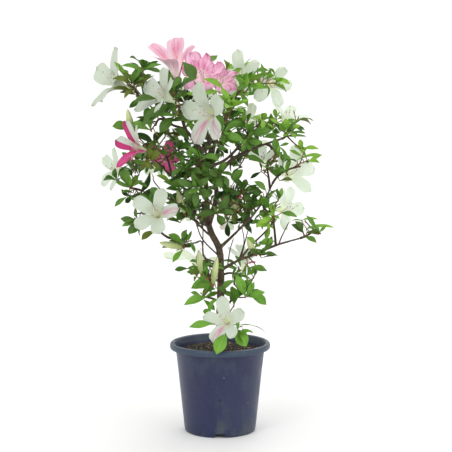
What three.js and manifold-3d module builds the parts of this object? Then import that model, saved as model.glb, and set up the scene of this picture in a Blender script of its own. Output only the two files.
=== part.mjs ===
// Azalea shrub in its plastic pot, millimetres. Z is up, the front faces -Y and the pot's centre
// axis is the Z axis. Everything stands on z = 0.
import * as THREE from "three";
import { mergeVertices } from "three/addons/utils/BufferGeometryUtils.js";
import Module from "manifold-3d";

const wasm = await Module();
wasm.setup();
const { Manifold } = wasm;
const vec = (x, y, z) => new THREE.Vector3(x, y, z);

// pot
const potHeight = 133.5;
const rimRadius = 75; // outer edge of the rolled lip
const lipHeight = 9;
const wallTopRadius = 66.4; // outer wall right under the lip
const wallFootRadius = 53.6;
const wallThick = 1.9;
const floorUnder = 6.5;
const floorTop = 8.8;
const footRingInner = 46;
const footPadRadius = 12; // the small pad in the middle that the pot also stands on
const notchWidth = 17;
const notchHeight = 6;
const drainRadius = 5;
const drainOut = 30; // from the axis to the middle of a drain hole
const potSides = 36;
// soil
const soilTop = 122;
const soilEdge = 118; // height of the soil along the wall
const soilRough = 0.9;
const soilSides = 20;
const gap = 0.3; // air left between any two pieces
// limbs
const flareGirth = 5.5; // how much the trunk widens at the soil
const flareHeight = 9;
const limbStep = 19; // length of limb to each ring of corners
// foliage
const sampleStep = 3; // between the points that stand for wood and sticks
const stemGirth = [2.1, 1.8];
const stemStep = 22;
const shootGirth = 0.8;
const knobFoot = 1.4; // radius of the knob where the shoot meets it
const knobRadius = 2.4;
const knobDepth = 2;
const leavesAround = 6;
const leafLength = 37;
const leafWidth = 15.5;
const leafThick = 1.3;
const petalThick = 1.2;
const petalWidth = 0.62; // of the petal's own length
const petals = 5;
const mouthShare = 0.17; // radius of a blossom's mouth as a share of its radius across
const footShare = 0.5; // and the way from its foot to the mouth
const petalClear = 3.5; // air between a leaf and the petals
const mouthClear = 30; // and before the mouth
const spaceGap = 0.5; // from the plane between two masses
const leafSpill = 9; // how far a leaf may stand out of its mass's reach
const potCrownHeight = 138; // leaves over the lip stay above this
const soilCrownHeight = 127; // and leaves over the soil above this
const bloomRoot = 0.9; // where on the stem stalks and buds leave
const budRoot = 0.86;
const goldenTurn = 2.399963;

// The limbs in growing order: the limb each leaves, how far along it, radii at both ends, and the
// places where it bends.
const limbRows = [
  { name: "trunk", girth: [6.4, 1.8], sides: 9, bends: [[0, 0, 122.3], [0, 0, 164], [1, 0, 206],
    [1, 2, 239], [-1, 4, 272], [-13, 6, 297], [-17, 8, 315], [-10, 9, 332], [-5, 10, 349],
    [-7, 10, 373], [-12, 10, 398], [-15, 10, 423], [-20, 12, 453], [-27, 14, 482], [-30, 15, 506]] },
  { name: "bough_leader", on: "trunk", at: 0.42, girth: [4, 1.6], bends: [[-20, 2, 336],
    [-20, -4, 365], [-23, -8, 392], [-27, -12, 418], [-38, -16, 435], [-50, -22, 451],
    [-68, -28, 458], [-82, -32, 466]] },
  { name: "bough_left_high", on: "bough_leader", at: 0.75, girth: [2.2, 1.5],
    bends: [[-58, -18, 477], [-63, -12, 506]] },
  { name: "bough_far_left", on: "bough_leader", at: 0.89, girth: [1.8, 1.3],
    bends: [[-92, -12, 477], [-116, 2, 497]] },
  { name: "bough_front_high", on: "trunk", at: 0.77, girth: [2.4, 1.5],
    bends: [[-14, -20, 436], [-3, -44, 452]] },
  { name: "bough_right_top", on: "trunk", at: 0.73, girth: [2.9, 1.6],
    bends: [[-6, -8, 439], [5, -20, 464], [14, -26, 483], [26, -30, 504]] },
  { name: "bough_right_high", on: "trunk", at: 0.65, girth: [3.4, 1.7], bends: [[4, 4, 392],
    [16, 0, 405], [30, -2, 414], [47, -4, 422], [68, -4, 430], [90, -4, 437]] },
  { name: "bough_right_back", on: "trunk", at: 0.71, girth: [2.6, 1.5],
    bends: [[12, 45, 407], [48, 62, 444], [73, 66, 460]] },
  { name: "bough_right_mid", on: "trunk", at: 0.29, girth: [2.3, 1.5],
    bends: [[19, 4, 293], [30, 4, 304], [39, 0, 315]] },
  { name: "bough_right_up", on: "bough_right_mid", at: 0.66, girth: [1.7, 1.3],
    bends: [[48, 14, 321], [68, 16, 349], [78, 12, 370]] },
  { name: "bough_right_low", on: "trunk", at: 0.22, girth: [2.6, 1.4], bends: [[15, 0, 250],
    [28, -2, 257], [48, -6, 265], [82, -10, 280], [101, -11, 286], [118, -12, 291]] },
  { name: "bough_right_out", on: "bough_right_low", at: 0.35, girth: [1.9, 1.3],
    bends: [[39, -6, 271], [50, -10, 284], [65, -14, 299], [77, -16, 313]] },
  { name: "bough_left_mid", on: "bough_leader", at: 0.13, girth: [2, 1.2], bends: [[-32, -3, 339],
    [-46, -4, 341], [-72, -6, 348], [-97, -4, 353], [-114, -2, 360]] },
  { name: "bough_left_up", on: "bough_leader", at: 0.22, girth: [2.2, 1.4],
    bends: [[-35, -4, 371], [-60, -8, 378], [-73, -10, 384], [-86, -14, 398], [-96, -18, 408]] },
  { name: "bough_low_left", on: "trunk", at: 0.21, girth: [1.6, 1.1], bends: [[-13, -6, 249],
    [-24, -12, 265], [-27, -14, 286], [-37, -20, 285], [-53, -24, 284], [-73, -30, 293]] },
  { name: "bough_back_low", on: "trunk", at: 0.34, girth: [2.3, 1.5],
    bends: [[-21, 34, 295], [-37, 62, 308]] },
  { name: "bough_back_high", on: "trunk", at: 0.66, girth: [2.6, 1.6],
    bends: [[-18, 40, 404], [-25, 66, 424]] },
];

// The foliage masses: limb and place the stem leaves, heart, reach, number of shoots, seed.
const massRows = [
  ["base_bloom", "trunk", 0.07, [9, -36, 170], 46, 3, 111],
  ["base_left", "trunk", 0.12, [-30, 4, 201], 28, 2, 99],
  ["low_bud", "trunk", 0.17, [-19, -24, 240], 34, 2, 38],
  ["low_right", "trunk", 0.09, [37, -6, 214], 36, 3, 33],
  ["low_mid_right", "bough_right_low", 0.48, [55, -14, 272], 28, 2, 101],
  ["low_back", "trunk", 0.2, [27, 42, 228], 34, 2, 106],
  ["low_left_back", "trunk", 0.24, [-37, 58, 226], 36, 3, 112],
  ["low_left_tuft", "bough_low_left", 0.83, [-60, -30, 279], 24, 2, 77],
  ["left_bloom", "bough_low_left", 1, [-98, -42, 330], 40, 3, 110],
  ["left_tips", "bough_left_mid", 1, [-133, -2, 365], 38, 4, 70],
  ["left_bud", "trunk", 0.38, [-57, -34, 341], 30, 3, 145],
  ["centre_low", "trunk", 0.38, [-3, -50, 341], 34, 3, 103],
  ["centre", "bough_leader", 0.28, [-27, -62, 388], 44, 6, 121],
  ["right_heart", "bough_right_mid", 1, [35, -18, 344], 36, 4, 21],
  ["right_heart_back", "trunk", 0.46, [18, 64, 318], 42, 3, 149],
  ["right_spray", "bough_right_out", 1, [73, -24, 333], 32, 3, 59],
  ["right_tip", "bough_right_low", 1, [140, -14, 304], 30, 2, 116],
  ["right_out_back", "bough_right_low", 0.67, [80, 48, 318], 32, 2, 27],
  ["right_up_tip", "bough_right_up", 1, [119, 6, 396], 42, 3, 10],
  ["right_up_heart", "bough_right_up", 0.87, [70, 32, 396], 30, 2, 51],
  ["right_shelf", "bough_right_high", 0.83, [82, -14, 417], 26, 2, 123],
  ["right_high_tip", "bough_right_high", 1, [103, -4, 453], 30, 3, 40],
  ["right_high_heart", "bough_right_high", 0.59, [41, -16, 452], 38, 4, 120],
  ["right_high_back", "bough_right_back", 1, [88, 66, 452], 30, 2, 145],
  ["top_right", "bough_right_top", 1, [58, -20, 517], 39, 4, 108],
  ["top_right_back", "trunk", 0.9, [40, 68, 510], 44, 3, 57],
  ["front_bloom", "bough_front_high", 1, [6, -56, 460], 52, 3, 125],
  ["top_pink", "trunk", 1, [-17, 8, 531], 44, 3, 87],
  ["top_left_pink", "bough_left_high", 1, [-56, 34, 514], 42, 3, 92],
  ["top_left_white", "bough_left_high", 0.7, [-58, -38, 486], 44, 3, 87],
  ["far_left", "bough_far_left", 1, [-128, 0, 514], 46, 4, 144],
  ["left_fan", "bough_leader", 1, [-92, -46, 458], 28, 3, 55],
  ["left_flower", "bough_left_up", 1, [-96, -24, 421], 42, 3, 3],
  ["left_pale", "bough_left_up", 0.8, [-134, 44, 388], 36, 2, 125],
  ["left_heart", "bough_left_up", 0.56, [-80, 2, 415], 34, 3, 2],
  ["back_top", "trunk", 0.88, [-37, 70, 481], 42, 3, 103],
  ["back_heart", "bough_back_high", 1, [-22, 84, 417], 42, 3, 109],
  ["back_left", "bough_leader", 0.37, [-83, 74, 402], 42, 4, 107],
  ["back_right", "bough_right_back", 0.46, [46, 78, 402], 38, 3, 136],
  ["back_low", "bough_back_low", 1, [-47, 76, 325], 40, 3, 71],
].map(([name, on, at, heart, reach, shoots, seed]) => ({
  name, on, at, heart: vec(...heart), reach, shoots, seed,
}));

// Blossom: mass, middle of the mouth, turn from the front (90 is right) and rise in degrees,
// radius across the petals, how far the petals open, and their turn about the facing.
const bloomRows = [
  ["base_bloom", [9, -57, 174], -24, 16, 35, 75, 10],
  ["low_left_back", [-35, 76, 248], 166, 64, 47, 76, 32],
  ["low_back", [35, 31, 245], 36, 64, 29, 47, -3],
  ["left_bloom", [-90, -63, 331], -16, 26, 35, 67, -12],
  ["left_flower", [-115, -43, 424], -58, 16, 37, 52, 15],
  ["left_pale", [-149, 39, 392], -58, 9, 34, 59, -12],
  ["far_left", [-146, 12, 515], -68, 24, 46, 57, 0],
  ["top_left_white", [-74, -53, 497], -59, 26, 40, 58, 8],
  ["top_left_pink", [-65, 17, 539], -24, 68, 43, 45, 12],
  ["top_pink", [-24, -12, 525], -14, 30, 33, 60, 0],
  ["top_pink", [1, -11, 519], 26, 24, 27, 56, 10],
  ["front_bloom", [-13, -74, 476], -47, -4, 47, 71, 10],
  ["top_right_back", [35, 41, 526], -27, 18, 39, 59, 12],
  ["top_right_back", [77, 24, 516], 24, -13, 32, 66, -19],
  ["right_high_back", [99, 56, 464], 55, 64, 30, 57, 6],
  ["right_high_heart", [44, 19, 464], 165, 40, 30, 62, 20],
  ["back_right", [50, 102, 416], 180, 30, 27, 65, 0],
  ["right_up_heart", [65, 19, 400], -13, 64, 23, 47, 13],
  ["right_up_heart", [101, 41, 384], 42, 12, 41, 59, -11],
  ["right_out_back", [94, 19, 330], 51, 6, 36, 66, -17],
  ["right_heart_back", [15, 82, 336], 200, 10, 26, 58, 0],
  ["right_heart_back", [10, 82, 300], 170, -25, 22, 55, 0],
  ["left_heart", [-84, 32, 406], 165, 20, 23, 60, 20],
  ["back_top", [-38, 104, 493], 185, 20, 32, 75, 0],
  ["back_left", [-98, 112, 397], 210, 5, 28, 75, 0],
  ["back_low", [-55, 108, 314], 190, 5, 30, 75, 0],
].map(([mass, mouth, turn, rise, across, open, roll]) => ({
  mass, mouth: vec(...mouth), facing: heading(turn, rise), across, open: radians(open),
  roll: radians(roll),
}));

// Flower buds: mass, foot, tip and radius.
const budRows = [
  ["low_bud", [-27, -24, 240], [-31, -24, 274], 4],
  ["low_bud", [-10, -30, 226], [-4, -30, 264], 4],
  ["low_left_tuft", [-55, -28, 280], [-87, -28, 286], 4.4],
  ["left_bud", [-51, -38, 331], [-62, -38, 363], 4.2],
  ["left_flower", [-128, -34, 454], [-133, -34, 480], 4],
  ["right_heart", [28, -14, 333], [16, -14, 349], 4.4],
  ["low_mid_right", [52, -26, 270], [40, -28, 291], 4],
].map(([mass, foot, tip, girth]) => ({ mass, foot: vec(...foot), tip: vec(...tip), girth }));

const paint = (color, roughness) => new THREE.MeshStandardMaterial({ color, roughness });
const potPaint = paint(0x3d4258, 0.45);
const soilPaint = paint(0x3b2d22, 0.95);
const barkPaint = paint(0x51442f, 0.85);
const foliagePaint = paint(0x4f8a2c, 0.5);

function radians(degrees) {
  return (degrees * Math.PI) / 180;
}

// Direction from a turn about Z, 0 being the front, and a rise above level.
function heading(turn, rise) {
  const round = radians(turn);
  const up = radians(rise);
  return vec(Math.sin(round) * Math.cos(up), -Math.cos(round) * Math.cos(up), Math.sin(up));
}

// Seeded random numbers in 0..1.
function seeded(seed) {
  let state = (seed * 7919) >>> 0;
  return () => {
    state = (state + 0x6d2b79f5) >>> 0;
    let mixed = Math.imul(state ^ (state >>> 15), state | 1);
    mixed = (mixed + Math.imul(mixed ^ (mixed >>> 7), mixed | 61)) ^ mixed;
    return ((mixed ^ (mixed >>> 14)) >>> 0) / 4294967296;
  };
}

function solidOf(geometry) {
  const bare = geometry.clone();
  bare.deleteAttribute("normal");
  bare.deleteAttribute("uv");
  const welded = mergeVertices(bare, 1e-3);
  return new Manifold(new wasm.Mesh({
    numProp: 3,
    vertProperties: new Float32Array(welded.attributes.position.array),
    triVerts: new Uint32Array(welded.index.array),
  }));
}

// The triangles of the biggest connected body, which leaves out crumbs from joining.
function mainBody(triangles, count) {
  const group = Array.from({ length: count }, (_, i) => i);
  const find = (i) => {
    while (group[i] !== i) i = group[i] = group[group[i]];
    return i;
  };
  for (let i = 0; i < triangles.length; i += 3) {
    group[find(triangles[i + 1])] = find(triangles[i]);
    group[find(triangles[i + 2])] = find(triangles[i]);
  }
  const sizes = new Map();
  for (const i of triangles) sizes.set(find(i), (sizes.get(find(i)) ?? 0) + 1);
  const biggest = [...sizes].sort((a, b) => b[1] - a[1])[0][0];
  const kept = [];
  for (let i = 0; i < triangles.length; i += 3)
    if (find(triangles[i]) === biggest) kept.push(...triangles.slice(i, i + 3));
  return kept;
}

function meshOf(solid, name, material) {
  const made = solid.getMesh();
  const geometry = new THREE.BufferGeometry();
  geometry.setAttribute("position", new THREE.BufferAttribute(made.vertProperties, 3));
  geometry.setIndex(mainBody(made.triVerts, made.numVert));
  const flat = geometry.toNonIndexed();
  flat.computeVertexNormals();
  const mesh = new THREE.Mesh(flat, material);
  mesh.name = name;
  return mesh;
}

// A closed solid from corner points and triangles that face out.
function facets(points, triangles) {
  const geometry = new THREE.BufferGeometry();
  geometry.setAttribute("position",
    new THREE.Float32BufferAttribute(points.flatMap((p) => [p.x, p.y, p.z]), 3));
  geometry.setIndex(triangles.flat());
  const solid = solidOf(geometry);
  if (solid.volume() > 0) return solid;
  geometry.setIndex(triangles.map(([a, b, c]) => [a, c, b]).flat());
  return solidOf(geometry);
}

// Triangles between two rings of points that run the same way round: lower ring, upper ring.
function band(low, high) {
  const triangles = [];
  let i = 0;
  let j = 0;
  while (i < low.length || j < high.length) {
    const a = low[i % low.length];
    const b = high[j % high.length];
    if ((i + 1) / low.length <= (j + 1) / high.length) {
      triangles.push([a, low[(i + 1) % low.length], b]);
      i += 1;
    } else {
      triangles.push([a, high[(j + 1) % high.length], b]);
      j += 1;
    }
  }
  return triangles;
}

// A ring of points joined to a point at either end: a bud.
function spindle(ring, tip, foot) {
  const count = ring.length;
  const triangles = [];
  for (let i = 0; i < count; i += 1) {
    const next = (i + 1) % count;
    triangles.push([i, next, count], [next, i, count + 1]);
  }
  return facets([...ring, tip, foot], triangles);
}

// A round limb along a curve: CylinderGeometry with each of its rings moved to the curve.
function limbSolid(curve, radiusAt, sides, rings, grow = 0) {
  const tube = new THREE.CylinderGeometry(1, 1, 1, sides, rings);
  const places = tube.attributes.position;
  const frames = [];
  let side = vec(0, 0, 0);
  for (let k = 0; k <= rings; k += 1) {
    const along = curve.getTangent(k / rings).normalize();
    if (k === 0) side = Math.abs(along.x) > 0.8 ? vec(0, 1, 0) : vec(1, 0, 0);
    side = side.clone().addScaledVector(along, -side.dot(along)).normalize();
    const middle = curve.getPoint(k / rings);
    if (k === 0) middle.addScaledVector(along, -grow);
    if (k === rings) middle.addScaledVector(along, grow);
    frames.push({ middle, side, other: side.clone().cross(along), radius: radiusAt(k / rings) + grow });
  }
  for (let i = 0; i < places.count; i += 1) {
    const frame = frames[Math.round((places.getY(i) + 0.5) * rings)];
    const put = frame.middle.clone()
      .addScaledVector(frame.side, places.getX(i) * frame.radius)
      .addScaledVector(frame.other, places.getZ(i) * frame.radius);
    places.setXYZ(i, put.x, put.y, put.z);
  }
  return solidOf(tube);
}

const taper = ([thick, thin]) => (u) => thick + (thin - thick) * u;

// Limbs: curves first, so that foliage can keep clear of all of them.
const limbs = {};
for (const row of limbRows) {
  const bends = row.bends.map((p) => vec(...p));
  if (row.on) bends.unshift(limbs[row.on].curve.getPoint(row.at));
  const curve = new THREE.CatmullRomCurve3(bends, false, "catmullrom", 0.5);
  const girth = taper(row.girth);
  const length = curve.getLength();
  const flared = (u) => girth(u) + flareGirth * Math.exp((-u * length) / flareHeight);
  limbs[row.name] = { ...row, curve, length, radiusAt: row.on ? girth : flared };
}

function buildLimb(limb) {
  const sides = limb.sides ?? 5;
  const rings = Math.max(4, Math.round(limb.length / limbStep));
  limb.solid = limbSolid(limb.curve, limb.radiusAt, sides, rings);
  limb.grown = limbSolid(limb.curve, limb.radiusAt, sides, rings, gap);
  if (limb.on) limb.solid = limb.solid.subtract(limbs[limb.on].grown);
  return meshOf(limb.solid, limb.name, barkPaint);
}

// The stem of a mass leaves its limb and bends to the heart.
for (const mass of massRows) {
  const limb = limbs[mass.on];
  const start = limb.curve.getPoint(mass.at);
  const run = mass.heart.clone().sub(start);
  const ahead = limb.curve.getTangent(mass.at).normalize();
  const atTip = mass.at === 1;
  const leave = atTip ? ahead : run.clone().normalize().add(vec(0, 0, 0.35)).normalize();
  if (atTip) start.addScaledVector(ahead, gap);
  const bend = start.clone().addScaledVector(leave, run.length() * 0.5);
  mass.stem = new THREE.QuadraticBezierCurve3(start, bend, mass.heart);
}

// All wood as round samples every few millimetres, each marked with the mass it belongs to.
const wood = [];
for (const limb of Object.values(limbs)) {
  const steps = Math.ceil(limb.length / sampleStep);
  for (let k = 0; k <= steps; k += 1)
    wood.push({ at: limb.curve.getPoint(k / steps), radius: limb.radiusAt(k / steps), mass: null });
}
for (const mass of massRows) {
  const steps = Math.ceil(mass.stem.getLength() / sampleStep);
  for (let k = 0; k <= steps; k += 1)
    wood.push({ at: mass.stem.getPoint(k / steps), radius: stemGirth[0], mass });
}

// How far a point lies inside the mass's own space. Spaces meet in planes, set by the reaches.
function inSpace(mass, point) {
  const own = point.distanceToSquared(mass.heart) - mass.reach ** 2;
  let least = Infinity;
  for (const other of massRows) {
    if (other === mass) continue;
    const theirs = point.distanceToSquared(other.heart) - other.reach ** 2;
    least = Math.min(least, (theirs - own) / (2 * mass.heart.distanceTo(other.heart)));
  }
  return least;
}

function clearOfPot(point) {
  const overLip = Math.hypot(point.x, point.y) > wallTopRadius - 8;
  return point.z > (overLip ? potCrownHeight : soilCrownHeight);
}

// True if the slab with these axes and half sizes keeps clear of the wood of others.
function clearOfWood(mass, foot, along, across, length, halfWidth, halfDepth) {
  const up = along.clone().cross(across);
  for (const piece of mass.nearWood) {
    const from = piece.at.clone().sub(foot);
    const a = from.dot(along);
    if (a < -1 - piece.radius || a > length + 1 + piece.radius) continue;
    if (Math.abs(from.dot(across)) > halfWidth + piece.radius + 0.8) continue;
    if (Math.abs(from.dot(up)) > halfDepth + piece.radius + 1) continue;
    return false;
  }
  return true;
}

// How far in front of the cone of a blossom's petals a point lies, and how far from its axis.
function beforePetals(bloom, point) {
  const from = point.clone().sub(bloom.mouth);
  const ahead = from.dot(bloom.facing);
  const out = Math.sqrt(Math.max(0, from.lengthSq() - ahead * ahead));
  return { ahead: ahead - (out - bloom.across * mouthShare) / Math.tan(bloom.open), out };
}

// True if a leaf passes through a blossom's petals or stands right before its mouth.
function meetsPetals(bloom, root, leaf) {
  const spots = [root, leaf.middle, leaf.tip].map((point) => beforePetals(bloom, point));
  for (let k = 0; k < 2; k += 1) {
    const [near, far] = [spots[k], spots[k + 1]];
    if (near.ahead * far.ahead < 0 && Math.min(near.out, far.out) < bloom.across * 0.95) return true;
  }
  return spots.some(({ ahead, out }) => Math.abs(ahead) < petalClear && out < bloom.across)
    || spots.some(({ ahead, out }) => ahead > 0 && ahead < mouthClear && out < bloom.across * 0.6);
}

function addStickPoints(mass, from, to) {
  const steps = Math.ceil(from.distanceTo(to) / sampleStep);
  for (let k = 1; k < steps; k += 1) mass.leafPoints.push(from.clone().lerp(to, k / steps));
}

// The outline of a leaf: two side points, the tip and the raised middle, or null where it has no
// room.
function tryLeaf(mass, root, along, across, length) {
  const lift = along.clone().cross(across).normalize();
  const half = (leafWidth / 2) * (length / leafLength);
  const spot = (u, v, w) => root.clone().addScaledVector(along, u)
    .addScaledVector(across, v).addScaledVector(lift, w);
  const leaf = { left: spot(length * 0.56, half, 0.9), right: spot(length * 0.56, -half, 0.9),
    tip: spot(length, 0, -length * 0.08), middle: spot(length * 0.5, 0, leafThick) };
  const reach = mass.reach + leafSpill;
  for (const point of Object.values(leaf)) {
    if (inSpace(mass, point) < spaceGap || !clearOfPot(point)) return null;
    if (point.distanceTo(mass.heart) > reach) return null;
  }
  if (!clearOfWood(mass, root, along, across, length, half, 2.5)) return null;
  for (const bloom of mass.blooms) if (meetsPetals(bloom, root, leaf)) return null;
  for (const other of mass.leafPoints) {
    const from = other.clone().sub(root);
    const u = from.dot(along);
    if (u > 2 && u < length + 2 && Math.abs(from.dot(across)) < half
      && Math.abs(from.dot(lift)) < 2.5) return null;
  }
  return leaf;
}

// Two directions square to an axis, and from them the outward direction at any turn about it.
function around(axis) {
  const flat = Math.abs(axis.z) > 0.9 ? vec(1, 0, 0) : vec(0, 0, 1);
  const first = flat.clone().cross(axis).normalize();
  const second = axis.clone().cross(first);
  return (turn) => first.clone().multiplyScalar(Math.cos(turn))
    .addScaledVector(second, Math.sin(turn));
}

// Three points round the root of a shoot or stalk, in step with the ring at its far end.
function rootRing(root, along, outAt, offset) {
  return [0, 1, 2].map((k) => {
    const out = outAt(offset + (k * Math.PI * 2) / 3);
    out.addScaledVector(along, -out.dot(along)).normalize();
    return root.clone().addScaledVector(out, shootGirth);
  });
}

// A shoot and the leaves round its end, as one body. The knob at the end is a short prism, and
// each leaf grows out of one of its sides as ten faces.
function whorl(mass, root, end, axis, random) {
  const outAt = around(axis);
  const along = end.clone().sub(root).normalize();
  const offset = random() * Math.PI * 2;
  const step = (Math.PI * 2) / leavesAround;
  const points = rootRing(root, along, outAt, offset - step / 2);
  const lows = [];
  const tops = [];
  for (let k = 0; k < leavesAround; k += 1) {
    const out = outAt(offset + (k - 0.5) * step);
    lows.push(points.length);
    points.push(end.clone().addScaledVector(out, knobFoot).addScaledVector(axis, -knobDepth));
    tops.push(points.length);
    points.push(end.clone().addScaledVector(out, knobRadius));
  }
  const triangles = [[0, 2, 1], ...band([0, 1, 2], lows)];
  for (let k = 1; k < leavesAround - 1; k += 1) triangles.push([tops[0], tops[k], tops[k + 1]]);
  for (let k = 0; k < leavesAround; k += 1) {
    const next = (k + 1) % leavesAround;
    const [topA, lowA, topB, lowB] = [tops[k], lows[k], tops[next], lows[next]];
    const lean = 0.3 * (random() - 0.5);
    const spread = radians(52 + 24 * random());
    const size = leafLength * (0.82 + 0.24 * random());
    const out = outAt(offset + k * step + lean);
    const grow = axis.clone().multiplyScalar(Math.cos(spread)).addScaledVector(out, Math.sin(spread));
    const across = axis.clone().cross(out);
    const foot = end.clone().addScaledVector(outAt(offset + k * step), knobFoot);
    const leaf = tryLeaf(mass, foot, grow, across, size)
      ?? tryLeaf(mass, foot, grow, across, size * 0.72);
    if (!leaf) {
      triangles.push([topA, lowA, lowB], [topA, lowB, topB]);
      continue;
    }
    const base = points.length;
    const [left, right, tip, middle] = [base, base + 1, base + 2, base + 3];
    points.push(leaf.left, leaf.right, leaf.tip, leaf.middle);
    mass.leafPoints.push(leaf.middle, leaf.tip.clone().lerp(leaf.middle, 0.4));
    triangles.push([topB, topA, middle], [topA, right, middle], [right, tip, middle],
      [tip, left, middle], [left, topB, middle], [lowA, lowB, tip], [right, lowA, tip],
      [lowB, left, tip], [topA, lowA, right], [topB, left, lowB]);
  }
  return facets(points, triangles);
}

// Shoots spread evenly round the heart by the golden turn, each ending in a whorl.
function growShoots(mass, random, parts) {
  for (let k = 0; k < mass.shoots; k += 1) {
    const level = 1 - (2 * (k + 0.5)) / mass.shoots;
    const turn = k * goldenTurn + mass.seed * 1.7 + random();
    const flatness = Math.sqrt(1 - level * level);
    const aim = vec(Math.cos(turn) * flatness, Math.sin(turn) * flatness, level * 0.9 + 0.3);
    aim.normalize();
    const root = mass.stem.getPoint(0.94 - (0.4 * k) / mass.shoots);
    for (const share of [0.62, 0.48, 0.34, 0.22]) {
      const end = mass.heart.clone().addScaledVector(aim, mass.reach * share);
      const along = end.clone().sub(root).normalize();
      const across = around(along)(0);
      if (inSpace(mass, end) < spaceGap + knobRadius + 3 || !clearOfPot(end)) continue;
      if (!clearOfWood(mass, root, along, across, root.distanceTo(end), 2.5, 2.5)) continue;
      const axis = along.clone().add(aim).add(vec(0, 0, 0.4)).normalize();
      parts.push(whorl(mass, root, end, axis, random));
      addStickPoints(mass, root, end);
      break;
    }
  }
}

// A blossom on its stalk: a five-sided funnel, and a petal grown out of each side of its rim.
function growBloom(mass, bloom, parts) {
  const { mouth, facing, across, open, roll } = bloom;
  const foot = mouth.clone().addScaledVector(facing, -across * footShare);
  const root = mass.stem.getPoint(bloomRoot);
  const outAt = around(facing);
  const step = (Math.PI * 2) / petals;
  const rim = across * mouthShare;
  const long = (across - rim * 0.7) / Math.max(0.8, Math.sin(open));
  const half = (long * petalWidth) / 2;
  const points = [foot.clone().addScaledVector(facing, across * 0.22)];
  for (let k = 0; k < petals; k += 1) {
    const out = outAt(Math.PI / 2 + roll + (k - 0.5) * step);
    points.push(mouth.clone().addScaledVector(out, rim - petalThick * 0.4).addScaledVector(facing, 0.6),
      mouth.clone().addScaledVector(out, rim).addScaledVector(facing, -petalThick),
      foot.clone().addScaledVector(out, 1.8));
  }
  const stalk = foot.clone().sub(root).normalize();
  points.push(...rootRing(root, stalk, outAt, Math.PI / 2 + roll - step / 2));
  const triangles = [[16, 18, 17], ...band([16, 17, 18], [3, 6, 9, 12, 15])];
  for (let k = 0; k < petals; k += 1) {
    const next = (k + 1) % petals;
    const [inA, outA, lowA] = [1 + 3 * k, 2 + 3 * k, 3 + 3 * k];
    const [inB, outB, lowB] = [1 + 3 * next, 2 + 3 * next, 3 + 3 * next];
    const out = outAt(Math.PI / 2 + roll + k * step);
    const along = facing.clone().multiplyScalar(Math.cos(open)).addScaledVector(out, Math.sin(open));
    const side = facing.clone().cross(out).normalize();
    const lift = along.clone().cross(side).normalize();
    const spot = (u, v, w) => mouth.clone().addScaledVector(out, rim * 0.7)
      .addScaledVector(along, u * long).addScaledVector(side, v * half).addScaledVector(lift, w);
    const base = points.length;
    points.push(spot(0.55, -1, 0), spot(0.97, -0.5, -3), spot(0.97, 0.5, -3), spot(0.55, 1, 0),
      spot(0.5, 0, petalThick));
    const [wideA, endA, endB, wideB, middle] = [base, base + 1, base + 2, base + 3, base + 4];
    triangles.push([0, inA, inB], [lowA, lowB, outB], [lowA, outB, outA],
      [inB, inA, middle], [inA, wideA, middle], [wideA, endA, middle], [endA, endB, middle],
      [endB, wideB, middle], [wideB, inB, middle], [outA, outB, endB], [outA, endB, endA],
      [outA, endA, wideA], [outB, wideB, endB], [inA, outA, wideA], [inB, wideB, outB]);
  }
  parts.push(facets(points, triangles));
}

function growBud(mass, bud, parts) {
  const along = bud.tip.clone().sub(bud.foot);
  const length = along.length();
  along.normalize();
  const side = along.clone().cross(vec(0, 1, 0)).normalize();
  const other = along.clone().cross(side);
  const ring = [0, 1, 2, 3].map((k) => bud.foot.clone().addScaledVector(along, length * 0.42)
    .addScaledVector(side, Math.cos((k * Math.PI) / 2) * bud.girth)
    .addScaledVector(other, Math.sin((k * Math.PI) / 2) * bud.girth));
  parts.push(spindle(ring, bud.tip, bud.foot.clone().addScaledVector(along, -1.5)));
  const root = mass.stem.getPoint(budRoot);
  const inside = bud.foot.clone().addScaledVector(along, 1.5);
  parts.push(limbSolid(new THREE.LineCurve3(root, inside), () => shootGirth, 3, 1));
}

function buildMass(mass) {
  mass.blooms = bloomRows.filter((bloom) => bloom.mass === mass.name);
  mass.nearWood = wood.filter((piece) => piece.mass !== mass
    && piece.at.distanceTo(mass.heart) < mass.reach + 60
    && piece.at.distanceTo(mass.stem.getPoint(0)) > 1);
  const random = seeded(mass.seed);
  mass.leafPoints = [];
  const rings = Math.max(2, Math.round(mass.stem.getLength() / stemStep));
  const parts = [limbSolid(mass.stem, taper(stemGirth), 3, rings)];
  for (const bloom of mass.blooms) {
    growBloom(mass, bloom, parts);
    addStickPoints(mass, mass.stem.getPoint(bloomRoot), bloom.mouth);
  }
  for (const bud of budRows.filter((bud) => bud.mass === mass.name)) {
    growBud(mass, bud, parts);
    addStickPoints(mass, mass.stem.getPoint(budRoot), bud.tip);
  }
  growShoots(mass, random, parts);
  let solid = Manifold.union(parts);
  if (mass.at < 1) solid = solid.subtract(limbs[mass.on].grown);
  return meshOf(solid, `foliage_${mass.name}`, foliagePaint);
}

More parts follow.
